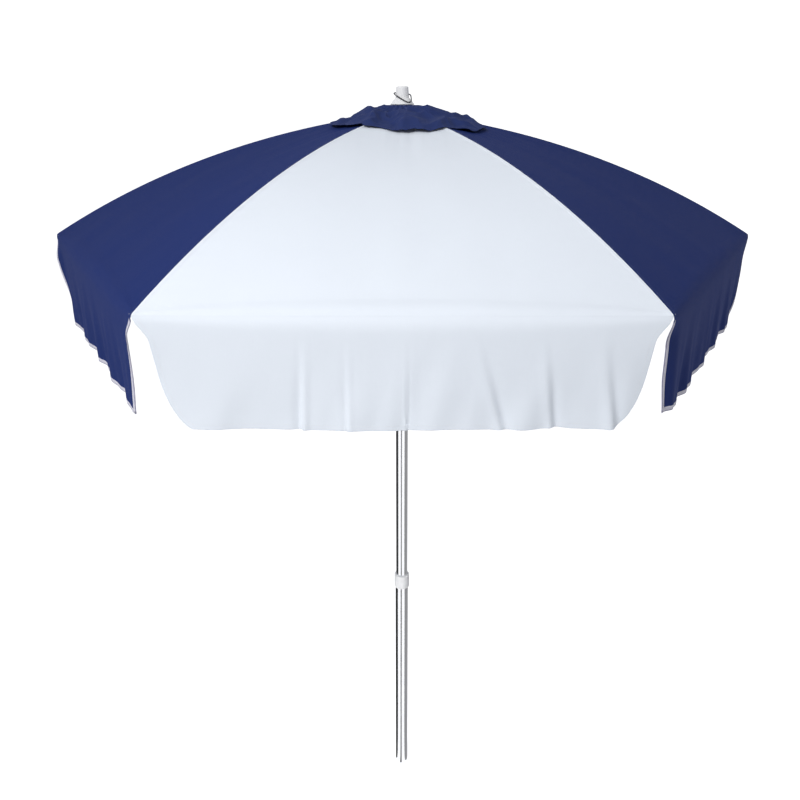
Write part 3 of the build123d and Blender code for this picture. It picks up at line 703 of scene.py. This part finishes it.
def flap_point(number, across, drop, lift=0.0):
    """Point on a flap at a flat place: metres across from its middle, metres down from the split."""
    share = max(-1.0, min(1.0, across / FLAP_HALF))
    _, steps = bend_at(share)
    bend_left = bend_length(share) / 2
    if drop < bend_left:
        position = BEND_STEPS / 2 + drop / bend_left * BEND_STEPS / 2
        out, up, pitch = step_between(steps, position)
    else:
        out, up, _ = steps[-1]
        pitch = math.pi / 2
        up -= drop - bend_left
    relief = flap_folds(number, share, drop / FLAP_LENGTH)
    return surface_point(number, out, up, across, pitch, relief + lift)


def flap_drop():
    """Length of a flap from the split line to its foot."""
    _, steps = bend_at(0.0)
    upright_start = steps[-1][1]
    return upright_start - FLAP_FOOT + bend_length(0.0) / 2


# ---- pieces ----
def panel_sizes():
    """Flat width and length of a panel's cut, and its area."""
    slope, _ = bend_at(0.0)
    length = 0.0
    area = 0.0
    steps = 60
    previous = over_rib(VENT_SLOPE)
    for step in range(1, steps + 1):
        current = over_rib(VENT_SLOPE + (slope - VENT_SLOPE) * step / steps)
        piece = math.hypot((current[0] - previous[0]) * SQUEEZE, current[1] - previous[1])
        length += piece
        area += piece * (current[0] + previous[0]) * SQUEEZE * SPREAD
        previous = current
    length += bend_length(0.0) / 2
    area += bend_length(0.0) * FLAP_PLANE * SPREAD * 0.9
    return 2 * FLAP_PLANE * SPREAD, length, area


class UMBRELLA_OT_finishes(bpy.types.Operator):
    """Make every finish and paint the frame's own parts"""

    bl_idname = "umbrella.finishes"
    bl_label = "Finishes"

    def execute(self, context):
        make_finishes(context.scene.umbrella_cloth)
        slots = {part["node"]: part["material_slot"] for part in frame["record"]["subparts"]}
        for node, part in frame["nodes"].items():
            part.material_slots[0].material = FINISHES[slots[node]]
        return {"FINISHED"}


class UMBRELLA_OT_panels(bpy.types.Operator):
    """Make the six canopy panels"""

    bl_idname = "umbrella.panels"
    bl_label = "Canopy Panels"

    def execute(self, context):
        width, length, area = panel_sizes()
        for number in range(1, SECTORS + 1):
            def place(row, col, number=number):
                return panel_point(number, row, 2 * col - 1)

            panel = grid_piece(
                f"canopy_cloth_{number}", PANEL_ROWS, PANEL_COLUMNS, cloth_of(number), place)
            thicken(panel, CLOTH)
            fold_away(panel, number, f"panel_{number}_body")
            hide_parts(f"canopy_panel_{number}")
            cloth_of(number)
        return {"FINISHED"}


HEM_RAISE = 0.0004
TAPE_RAISE = 0.0009


class UMBRELLA_OT_flaps(bpy.types.Operator):
    """Make the valance flap under each panel, with its hem or binding"""

    bl_idname = "umbrella.flaps"
    bl_label = "Valance Flaps"

    def execute(self, context):
        settings = context.scene.umbrella_cloth
        length = flap_drop()
        for number in range(1, SECTORS + 1):
            def place(row, col, number=number):
                share = 2 * col - 1
                foot = length - foot_lift(number, share)
                drop = foot * (1 - (1 - row) ** 1.35)
                inset = flap_inset(number, drop, math.copysign(1, share))
                across = share * (FLAP_HALF - inset)
                return flap_point(number, across, drop), (across, -drop)

            flap = grid_piece(
                f"valance_cloth_{number}", FLAP_ROWS, FLAP_COLUMNS, cloth_of(number), place)
            thicken(flap, CLOTH)
            edge = self.edge_piece(number, length, settings)
            for piece in (flap, edge):
                fold_away(piece, number, f"valance_{number}_body")
            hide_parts(f"valance_{number}")
            cloth_of(number)
            area = 0.0
            steps = 50
            for step in range(steps):
                drop = length * (step + 0.5) / steps
                insets = flap_inset(number, drop, 1) + flap_inset(number, drop, -1)
                area += (2 * FLAP_HALF - insets) * length / steps
            min(area, 2 * FLAP_HALF * length)
        return {"FINISHED"}

    @staticmethod
    def outline(number, length, inset):
        """Flat places along a flap's edge, from one top corner round its foot to the other."""
        sides = []
        steps = 44
        start = 0.012
        for side in (1, -1):
            foot = length - foot_lift(number, side)
            drops = [
                start + (foot - start) * (1 - (1 - step / steps) ** 1.6) for step in range(steps + 1)
            ]
            sides.append(
                [(side * (FLAP_HALF - flap_inset(number, drop, side)), drop) for drop in drops])
        right, left = sides
        columns = 180
        foot = []
        for step in range(1, columns):
            share = 1 - 2 * step / columns
            inset_here = flap_inset(number, length, math.copysign(1, share))
            foot.append((share * (FLAP_HALF - inset_here), length - foot_lift(number, share)))
        path = right + foot + left[::-1]
        shifted = []
        for index, (across, drop) in enumerate(path):
            before = path[max(0, index - 1)]
            after = path[min(len(path) - 1, index + 1)]
            tangent = Vector((after[0] - before[0], after[1] - before[1]))
            tangent.normalize()
            normal = Vector((-tangent.y, tangent.x))
            inward = Vector((-across, length / 2 - drop))
            if normal.dot(inward) < 0:
                normal = -normal
            shifted.append((across + normal.x * inset, drop + normal.y * inset))
        return shifted

    def edge_piece(self, number, length, settings):
        """The turned hem or the tape that wraps a flap's edge."""
        white = is_white(number)
        width = settings.hem if white else settings.binding
        raise_by = HEM_RAISE if white else TAPE_RAISE
        # from the front's inner edge over the rim to the back's inner edge
        profile = [
            (width, CLOTH * 0.2), (width - 0.0006, raise_by), (width * 0.5, raise_by * 1.15),
            (0.0012, raise_by), (-0.0008, raise_by * 0.4 - CLOTH / 2), (-0.0008, -CLOTH),
            (0.0012, -CLOTH - raise_by), (width * 0.5, -CLOTH - raise_by * 1.15),
            (width - 0.0006, -CLOTH - raise_by), (width, -CLOTH * 1.2),
        ]
        rows = [self.outline(number, length, inset) for inset, _ in profile]
        columns = len(rows[0])
        points = []
        flats = []
        for (inset, lift), row in zip(profile, rows):
            for index, (across, drop) in enumerate(row):
                points.append(flap_point(number, across, drop, lift))
                flats.append((inset, index * 0.006))
        faces = grid_faces(len(profile), columns)
        # close the strip on itself and at its two ends
        last = (len(profile) - 1) * columns
        faces += [(last + c, last + c + 1, c + 1, c) for c in range(columns - 1)]
        faces.append(tuple(row * columns for row in range(len(profile))))
        faces.append(tuple(row * columns + columns - 1 for row in reversed(range(len(profile)))))
        name = "valance_hem" if white else "valance_binding"
        finish = "white_fabric" if white else "tape"
        edge = new_piece(f"{name}_{number}", points, faces, flats, finish)
        shell = bmesh.new()
        shell.from_mesh(edge.data)
        bmesh.ops.recalc_face_normals(shell, faces=shell.faces)
        shell.to_mesh(edge.data)
        shell.free()
        return edge


# ---- vent cap ----
CAP_CROWN = 0.034
CAP_START = 0.030
CAP_HOLE = 0.0045
CAP_ROWS = 96
CAP_COLUMNS = 84
CAP_CROWN_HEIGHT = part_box("cap_washer")[0].z
CAP_REACH = 0.194
CAP_ASIDE = 0.021  # how much further it reaches to one side
CAP_ASIDE_TURN = math.radians(322)
CAP_NOTCH = 0.018  # a short stretch of the hem that is drawn up
CAP_NOTCH_DEGREES = 256
CAP_LEAST_RISE = 0.0014  # above the canopy
CAP_SOFT_RISE = 0.002  # over which a low place is eased up to the least


def cap_reach(turn):
    """Distance from the axis to the cap's hem: it hangs lower between ribs, and to one side."""
    aside = ((turn % SECTOR_TURN) - HALF_TURN) / HALF_TURN
    reach = CAP_REACH + CAP_ASIDE * math.cos(turn - CAP_ASIDE_TURN) - 0.014 * aside ** 6
    reach -= CAP_NOTCH * math.exp(-((math.degrees(turn) % 360 - CAP_NOTCH_DEGREES) / 11) ** 2)
    place = unit(turn) * 3.2
    return reach + 0.016 * ripple(place.x, place.y, 6.1) + 0.006 * ripple(place.x * 3, place.y * 3)


def crumple(x, y):
    """Sharp-ridged creases of crushed cloth, from about -1 to 1."""
    shift_x = x + 0.020 * ripple(x * 13, y * 13, 1.3)
    shift_y = y + 0.020 * ripple(x * 13, y * 13, 4.9)
    large = 1 - 3.4 * abs(ripple(shift_x * 12, shift_y * 12, 8.1))
    small = 1 - 3.4 * abs(ripple(shift_x * 27, shift_y * 27, 3.7))
    return 0.68 * large + 0.32 * small


def under_cap(place):
    """Height of the canopy under a place."""
    turn = math.atan2(place.y, place.x)
    aside = (turn % SECTOR_TURN) - HALF_TURN
    rib_out = place.length * math.cos(aside) / SQUEEZE
    return CENTRE_UP + math.sqrt(CLOTH_CURVE ** 2 - (rib_out - CENTRE_OUT) ** 2)


def cap_point(share, turn):
    """Point of the vent cap's skirt; share runs from the crown to the hem."""
    reach = cap_reach(turn)
    out = CAP_START + (reach - CAP_START) * share
    place = unit(turn) * out
    aside = ((turn % SECTOR_TURN) - HALF_TURN) / HALF_TURN
    slack = 1 - aside * aside
    rise = 0.0024 + 0.0184 * (1 - share) ** 0.9
    ruffle = math.sin(11 * turn + 3 * ripple(place.x * 14, place.y * 14, 5.2))
    folds = 0.0120 * crumple(place.x, place.y) * ease(share, 0.02, 0.30)
    folds += 0.0034 * ruffle * ease(share, 0.45, 1.0) * (0.4 + 0.6 * slack)
    folds += 0.0016 * math.sin(26 * turn) * (1 - ease(share, 0.05, 0.45)) * ease(share, 0.0, 0.06)
    rise += folds * (1 - 0.5 * ease(share, 0.78, 1.0))
    if rise < CAP_LEAST_RISE + CAP_SOFT_RISE:
        rise = CAP_LEAST_RISE + CAP_SOFT_RISE * math.exp(
            (rise - CAP_LEAST_RISE - CAP_SOFT_RISE) / CAP_SOFT_RISE)
    height = under_cap(place) + rise
    height += (CAP_CROWN_HEIGHT - height) * (1 - ease(share, 0.0, 0.12))
    return place + Vector((0, 0, height))


class UMBRELLA_OT_vent_cap(bpy.types.Operator):
    """Make the gathered wind-vent cap, one part for each panel and its crown"""

    bl_idname = "umbrella.vent_cap"
    bl_label = "Vent Cap"

    def execute(self, context):
        crown = self.disc()
        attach(crown, "mast")
        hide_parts("vent_cap")
        for number in range(1, SECTORS + 1):
            start = middle_turn(number) - HALF_TURN

            def place(row, col, start=start):
                turn = start + 0.0005 + (SECTOR_TURN - 0.001) * col
                point = cap_point(row, turn)
                return point, (point.x, point.y)

            sector = grid_piece(
                f"vent_cap_cloth_{number}", CAP_ROWS, CAP_COLUMNS, "cap_fabric", place)
            thicken(sector, CLOTH)
            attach(sector, f"panel_{number}_body")
            turn = middle_turn(number)
            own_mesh(sector)
            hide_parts("vent_cap")
            side = cap_reach(turn) * 1.08
            side * SQUEEZE
            side * side * SQUEEZE * 0.6
        return {"FINISHED"}

    @staticmethod
    def disc():
        """The flat crown, with a hole for the finial's stud."""
        def place(row, col):
            reach = CAP_HOLE + (CAP_CROWN - CAP_HOLE) * row
            point = unit(math.tau * col) * reach
            point.z = CAP_CROWN_HEIGHT - 0.0004 * row
            return point, (point.x, point.y)

        crown = grid_piece("vent_cap_crown", 10, 72, "cap_fabric", place)
        shell = bmesh.new()
        shell.from_mesh(crown.data)
        bmesh.ops.remove_doubles(shell, verts=shell.verts, dist=1e-6)
        shell.to_mesh(crown.data)
        shell.free()
        return thicken(crown, CLOTH)


# ---- seams and stitches ----
SEAM_STRIP = 0.011
SEAM_RAISE = 0.0008
SEAM_CLOTH = 0.0004
STITCH_LINE = SEAM_STRIP * 0.62  # from the seam


def seam_share(side, down, inset):
    """Share across a panel of a place that is an inset away from its seam."""
    hem_slope, _ = bend_at(side)
    slope = VENT_SLOPE + (hem_slope - VENT_SLOPE) * min(1, down / PANEL_TOP_SHARE)
    half = over_rib(slope)[0] * SQUEEZE * SPREAD
    return side * (1 - inset / half)


class UMBRELLA_OT_seams(bpy.types.Operator):
    """Make the felled seam over each rib"""

    bl_idname = "umbrella.seams"
    bl_label = "Seams"

    def execute(self, context):
        for rib in range(1, SECTORS + 1):
            left = (rib - 2) % SECTORS + 1
            for side, number in ((1, left), (-1, rib)):
                strip = self.strip(rib, number, side)
                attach(strip, f"rib_{rib}_body")
                cloth_of(number)
        return {"FINISHED"}

    @staticmethod
    def strip(rib, number, side):
        """The turned edge of one panel, from the seam inwards."""
        def place(row, col):
            down = 0.012 + 0.972 * row
            point, flat = panel_point(number, down, seam_share(side, down, SEAM_STRIP * col))
            raised = SEAM_RAISE * (1 - col ** 4)
            return point + Vector((0, 0, raised + 0.0001)), flat

        strip = grid_piece(
            f"seam_{rib}_{'left' if side > 0 else 'right'}", 120, 6, cloth_of(number), place)
        return thicken(strip, SEAM_CLOTH, 0)


ROD_RADIUS = 0.004
TIP_SLOPE = RIB_SLOPE + 0.934 / RIB_CURVE
POCKET_LENGTH = 0.046
POCKET_HALF = 0.012
POCKET_DEPTH = 0.0142
POCKET_CLOTH = 0.0008
TIE_PLACES = (0.30, 0.74)  # distance from the axis
TIE_HALF = 0.006
TIE_SLACK = 0.0008  # between the rib and its tie
TIE_TAPE = 0.0006


def beside_rib(rib, slope, curve, across):
    """Point at a rib: a slope along it, a distance from its centre of curvature, and sideways."""
    turn = SECTOR_TURN * (rib - 1)
    out = CENTRE_OUT + curve * math.sin(slope)
    # both panels fall away from the rib
    up = CENTRE_UP + curve * math.cos(slope) - abs(across) * SPREAD * math.tan(slope)
    return unit(turn) * out + crossways(turn) * across + Vector((0, 0, up))


class UMBRELLA_OT_rib_ties(bpy.types.Operator):
    """Make the pocket over each rib's tip and the ties that hold the rib to its seam"""

    bl_idname = "umbrella.rib_ties"
    bl_label = "Rib Pockets and Ties"

    def execute(self, context):
        for rib in range(1, SECTORS + 1):
            pieces = [self.pocket(rib)]
            pieces += [self.tie(rib, count, out) for count, out in enumerate(TIE_PLACES, 1)]
            for piece in pieces:
                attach(piece, f"rib_{rib}_body")
        return {"FINISHED"}

    @staticmethod
    def pocket(rib):
        """A patch that wraps under the rib's tip and narrows to the canopy's corner."""
        reach = POCKET_LENGTH / RIB_CURVE
        top = CLOTH_CURVE - CLOTH - 0.0005

        def place(row, col):
            slope = TIP_SLOPE - reach + (reach - 0.001 / RIB_CURVE) * row
            out = CENTRE_OUT + RIB_CURVE * math.sin(slope)
            room = 2 * (FLAP_PLANE - 0.0016 - out * SQUEEZE)
            half = min(POCKET_HALF, room * 0.9) * (1 + 0.10 * math.sin(7 * row))
            hang = POCKET_DEPTH * (1 - 0.35 * ease(row, 0.80, 1.0)) + 0.0008 * (1 - row)
            turn = math.pi * col
            across = -half * math.cos(turn)
            drop = hang * math.sin(turn) ** 0.7
            return beside_rib(rib, slope, top - drop, across), (across, -slope * RIB_CURVE)

        pocket = grid_piece(f"tip_pocket_{rib}", 26, 30, "white_fabric", place)
        return thicken(pocket, POCKET_CLOTH, 0)

    @staticmethod
    def tie(rib, count, out):
        """A tape sewn to the seam that passes round the rib."""
        middle = math.asin((out - CENTRE_OUT) / RIB_CURVE)
        around = ROD_RADIUS + TIE_SLACK
        top = CLOTH_CURVE - CLOTH - 0.0004

        def place(row, col):
            slope = middle + TIE_HALF * (2 * row - 1) / RIB_CURVE
            turn = math.tau * col
            # round below the rib, drawn in to the seam above it
            across = around * math.sin(turn)
            curve = RIB_CURVE + around * math.cos(turn)
            pull = max(0.0, math.cos(turn)) ** 2
            curve += (top - curve) * pull
            across *= 1 + 0.5 * pull * (1 - pull)
            flat = (col * 0.03, row * 2 * TIE_HALF)
            return beside_rib(rib, slope, curve, across), flat

        tie = grid_piece(f"rib_tie_{rib}_{count}", 6, 40, "white_fabric", place)
        return thicken(tie, TIE_TAPE, 0)


def thread_tree():
    """Geometry nodes that lay stitches along an edge path."""
    tree = bpy.data.node_groups.new("Stitches", "GeometryNodeTree")
    for name, kind, default in (
        ("Path", "NodeSocketGeometry", None),
        ("Spacing", "NodeSocketFloat", 0.004),
        ("Stitch Length", "NodeSocketFloat", 0.003),
        ("Thread", "NodeSocketFloat", 0.0006),
        ("Finish", "NodeSocketMaterial", None),
    ):
        socket = tree.interface.new_socket(name, in_out="INPUT", socket_type=kind)
        if default is not None:
            socket.default_value = default
    tree.interface.new_socket("Stitches", in_out="OUTPUT", socket_type="NodeSocketGeometry")

    def node(kind, settings=None, **links):
        box = tree.nodes.new(kind)
        for setting, value in (settings or {}).items():
            setattr(box, setting, value)
        for name, value in links.items():
            socket = box.inputs[name.replace("_", " ")]
            if isinstance(value, bpy.types.NodeSocket):
                tree.links.new(value, socket)
            else:
                socket.default_value = value
        return box

    given = node("NodeGroupInput").outputs
    path = node("GeometryNodeMeshToCurve", Mesh=given["Path"]).outputs[0]
    spaced = node("GeometryNodeResampleCurve", {"mode": "LENGTH"}, Curve=path, Length=given["Spacing"])
    bead = node("GeometryNodeMeshUVSphere", Segments=6, Rings=5, Radius=0.5).outputs[0]
    size = node("ShaderNodeCombineXYZ", X=given["Stitch Length"], Y=given["Thread"], Z=given["Thread"])
    shaped = node("GeometryNodeTransform", Geometry=bead, Scale=size.outputs[0]).outputs[0]
    tangent = node("GeometryNodeInputTangent").outputs[0]
    aim = node("FunctionNodeAlignRotationToVector", {"axis": "X"}, Vector=tangent).outputs[0]
    placed = node(
        "GeometryNodeInstanceOnPoints", Points=spaced.outputs[0], Instance=shaped, Rotation=aim)
    real = node("GeometryNodeRealizeInstances", Geometry=placed.outputs[0]).outputs[0]
    painted = node("GeometryNodeSetMaterial", Geometry=real, Material=given["Finish"]).outputs[0]
    result = node("NodeGroupOutput")
    tree.links.new(painted, result.inputs[0])
    return tree


def stitch_row(name, tree, row, finish, settings):
    """A piece of stitches along a row of points."""
    edges = [(index, index + 1) for index in range(len(row) - 1)]
    mesh = bpy.data.meshes.new(name)
    mesh.from_pydata([tuple(point) for point in row], edges, [])
    piece = bpy.data.objects.new(name, mesh)
    bpy.context.scene.collection.objects.link(piece)
    modifier = piece.modifiers.new("Stitches", "NODES")
    modifier.node_group = tree
    values = {
        "Spacing": settings.spacing, "Stitch Length": settings.length,
        "Thread": settings.thread, "Finish": FINISHES[finish],
    }
    for socket in tree.interface.items_tree:
        if socket.name in values:
            modifier[socket.identifier] = values[socket.name]
    return plain_mesh(piece)


class UMBRELLA_OT_stitches(bpy.types.Operator):
    """Sew rows of stitches along the seams, hems and bindings"""

    bl_idname = "umbrella.stitches"
    bl_label = "Stitches"

    def execute(self, context):
        settings = context.scene.umbrella_stitches
        cloth = context.scene.umbrella_cloth
        tree = thread_tree()
        seam_lift = 0.0006 + SEAM_RAISE * 0.7
        downs = [0.02 + 0.96 * step / 90 for step in range(91)]
        for number in range(1, SECTORS + 1):
            white = is_white(number)
            inset = (cloth.hem if white else cloth.binding) - 0.0018
            thread = "white_thread" if white else "navy_thread"
            outline = UMBRELLA_OT_flaps.outline(number, flap_drop(), inset)
            row = [flap_point(number, across, drop, 0.0010) for across, drop in outline]
            hem = stitch_row(f"valance_stitches_{number}", tree, row, "white_thread", settings)
            fold_away(hem, number, f"valance_{number}_body")
            for side, rib in ((-1, number), (1, number % SECTORS + 1)):
                row = [
                    panel_point(number, down, seam_share(side, down, STITCH_LINE), seam_lift)[0]
                    for down in downs
                ]
                seam = stitch_row(f"seam_stitches_{number}_{rib}", tree, row, thread, settings)
                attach(seam, f"rib_{rib}_body")
                cloth_of(number)
        return {"FINISHED"}


# ---- finial cord ----
CORD_ROUTE = [
    (-0.010, 0, 2.201), (-0.021, 0, 2.201), (-0.020, -0.011, 2.1975), (-0.0095, -0.0215, 2.191),
    (0.003, -0.0265, 2.184), (0.0145, -0.026, 2.1785), (0.023, -0.0155, 2.181),
    (0.022, -0.004, 2.1895), (0.0205, 0, 2.198), (0.010, 0, 2.198),
]
CORD_THICKNESS = 0.003


class UMBRELLA_OT_finial_cord(bpy.types.Operator):
    """Make the cord loop through the finial"""

    bl_idname = "umbrella.finial_cord"
    bl_label = "Finial Cord"

    def execute(self, context):
        curve = bpy.data.curves.new("finial_loop", "CURVE")
        curve.dimensions = "3D"
        curve.bevel_depth = CORD_THICKNESS / 2
        curve.bevel_resolution = 5
        curve.resolution_u = 12
        curve.use_fill_caps = True
        spline = curve.splines.new("NURBS")
        spline.points.add(len(CORD_ROUTE) - 1)
        for point, place in zip(spline.points, CORD_ROUTE):
            point.co = (*place, 1)
        spline.order_u = 3
        spline.use_endpoint_u = True
        cord = bpy.data.objects.new("finial_loop", curve)
        context.scene.collection.objects.link(cord)
        curve.materials.append(FINISHES["cord_black"])
        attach(cord, "mast")
        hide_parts("finial_cord")
        return {"FINISHED"}


# ---- stage ----
class UMBRELLA_OT_stage(bpy.types.Operator):
    """Set the floor, the studio light and the camera"""

    bl_idname = "umbrella.stage"
    bl_label = "Stage"

    def execute(self, context):
        settings = context.scene.umbrella_stage
        self.camera(context, settings)
        self.backdrop()
        self.cards()
        self.lights(context, settings)
        return {"FINISHED"}

    @staticmethod
    def camera(context, settings):
        lens = bpy.data.cameras.new("camera")
        lens.lens = settings.focal_length
        lens.sensor_width = 36
        lens.clip_start = 0.05
        camera = bpy.data.objects.new("camera", lens)
        camera.location = (0, -settings.camera_distance, settings.camera_height)
        camera.rotation_euler = (math.pi / 2 - settings.camera_pitch, 0, math.radians(0.16))
        context.scene.collection.objects.link(camera)
        context.scene.camera = camera

    @staticmethod
    def backdrop():
        """A pale paper floor that glows evenly and sweeps up into a wall all round. Its glow is seen
        and reflected, but it lights no cloth and takes no part in shadows."""
        paper = Finish("Studio Paper", Roughness=0.9, Emission_Color=(1, 1, 1, 1),
                       Emission_Strength=0.75)
        grain = paper.cloud(paper.place(), 30.0, 3.0)
        paper.paint(paper.blend(grain, (0.90, 0.90, 0.90), (0.93, 0.93, 0.93)))
        middle, flat, sweep, height, sides = 0.001, 7.0, 2.0, 12.0, 96
        profile = [(middle, 0.0), (1.5, 0.0)]
        profile += [
            (flat + sweep * math.sin(turn), sweep * (1 - math.cos(turn)))
            for turn in (math.pi / 2 * step / 16 for step in range(17))
        ]
        profile.append((flat + sweep, height))
        points = [
            tuple(unit(math.tau * side / sides) * reach + Vector((0, 0, up)))
            for reach, up in profile for side in range(sides + 1)
        ]
        mesh = bpy.data.meshes.new("floor")
        mesh.from_pydata(points, [], grid_faces(len(profile), sides + 1))
        mesh.polygons.foreach_set("use_smooth", [True] * len(mesh.polygons))
        mesh.materials.append(paper.material)
        floor = bpy.data.objects.new("floor", mesh)
        bpy.context.scene.collection.objects.link(floor)
        floor.visible_diffuse = False
        floor.visible_shadow = False

    @staticmethod
    def cards():
        """Boards round the pole that show only in reflections: each lies as a wedge on the floor
        from the pole outwards, then stands up. Given: turn, spread in degrees, grey."""
        near, far, top, foot = 0.024, 0.55, 1.62, 0.003
        for name, turn, spread, grey in (
            ("card_left", -124, 100, 0.03), ("card_key", -50, 42, 1.2),
            ("card_front", -10, 26, 0.25), ("card_fill", 27, 44, 1.2),
            ("card_right", 84, 66, 0.30), ("card_back", 148, 62, 0.40),
        ):
            board = Finish(name, Roughness=1.0, Base_Color=(0, 0, 0, 1), Emission_Strength=1.0,
                           Emission_Color=(grey, grey, grey * 1.02, 1))
            face = math.radians(turn - 90)
            points = []
            for reach, up in ((near, foot), (far, foot), (far, top)):
                half = reach * math.tan(math.radians(spread / 2))
                for side in (-half, half):
                    points.append(unit(face) * reach + crossways(face) * side + Vector((0, 0, up)))
            mesh = bpy.data.meshes.new(name)
            mesh.from_pydata([tuple(point) for point in points], [], [(0, 2, 3, 1), (2, 4, 5, 3)])
            mesh.materials.append(board.material)
            card = bpy.data.objects.new(name, mesh)
            bpy.context.scene.collection.objects.link(card)
            for sight in ("camera", "diffuse", "shadow", "transmission", "volume_scatter"):
                setattr(card, f"visible_{sight}", False)

    @staticmethod
    def lights(context, settings):
        world = bpy.data.worlds.new("Studio")
        context.scene.world = world
        world.use_nodes = True
        sky = world.node_tree.nodes["Background"]
        sky.inputs["Color"].default_value = (0.93, 0.95, 1.0, 1)
        sky.inputs["Strength"].default_value = settings.daylight
        for name, place, aim, size, spread, power in (
            ("key_light", (-1.9, -3.4, 4.6), (-0.15, -0.75, 1.95), 0.7, 85, 27),
            ("fill_light", (3.4, -3.4, 3.4), (0, 0, 1.9), 1.6, 90, 0.8),
            ("pole_light", (-0.9, -2.7, 0.9), (0, 0, 0.8), 0.5, 40, 1.2),
            ("low_light", (-1.2, -3.6, 1.5), (-0.1, -0.7, 1.6), 0.9, 90, 2.6),
        ):
            lamp = bpy.data.lights.new(name, "AREA")
            lamp.size = size
            lamp.spread = math.radians(spread)
            lamp.energy = power
            light = bpy.data.objects.new(name, lamp)
            light.location = place
            aim_at = Vector(aim) - Vector(place)
            light.rotation_euler = aim_at.to_track_quat("-Z", "Y").to_euler()
            context.scene.collection.objects.link(light)
        context.scene.view_settings.view_transform = "Standard"


class UMBRELLA_PT_pieces(bpy.types.Panel):
    bl_idname = "UMBRELLA_PT_pieces"
    bl_label = "Patio Umbrella"
    bl_space_type = "VIEW_3D"
    bl_region_type = "UI"
    bl_category = "Umbrella"

    def draw(self, context):
        for group in ("umbrella_cloth", "umbrella_stitches", "umbrella_stage"):
            settings = getattr(context.scene, group)
            for name in settings.bl_rna.properties.keys():
                if name not in ("rna_type", "name"):
                    self.layout.prop(settings, name)
        for operator in STEPS:
            self.layout.operator(operator.bl_idname)


STEPS = (
    UMBRELLA_OT_finishes,
    UMBRELLA_OT_stage,
    UMBRELLA_OT_finial_cord,
    UMBRELLA_OT_panels,
    UMBRELLA_OT_flaps,
    UMBRELLA_OT_vent_cap,
    UMBRELLA_OT_seams,
    UMBRELLA_OT_rib_ties,
    UMBRELLA_OT_stitches,
)
SETTINGS = (
    ("umbrella_cloth", ClothSettings),
    ("umbrella_stitches", StitchSettings),
    ("umbrella_stage", StageSettings),
)


def register():
    for name, group in SETTINGS:
        bpy.utils.register_class(group)
        setattr(bpy.types.Scene, name, bpy.props.PointerProperty(type=group))
    for kind in (*STEPS, UMBRELLA_PT_pieces):
        bpy.utils.register_class(kind)


def unregister():
    for kind in (UMBRELLA_PT_pieces, *reversed(STEPS)):
        bpy.utils.unregister_class(kind)
    for name, group in reversed(SETTINGS):
        delattr(bpy.types.Scene, name)
        bpy.utils.unregister_class(group)


def main():
    register()
    for step in STEPS:
        group, name = step.bl_idname.split(".")
        getattr(getattr(bpy.ops, group), name)()


if __name__ == "__main__":
    main()
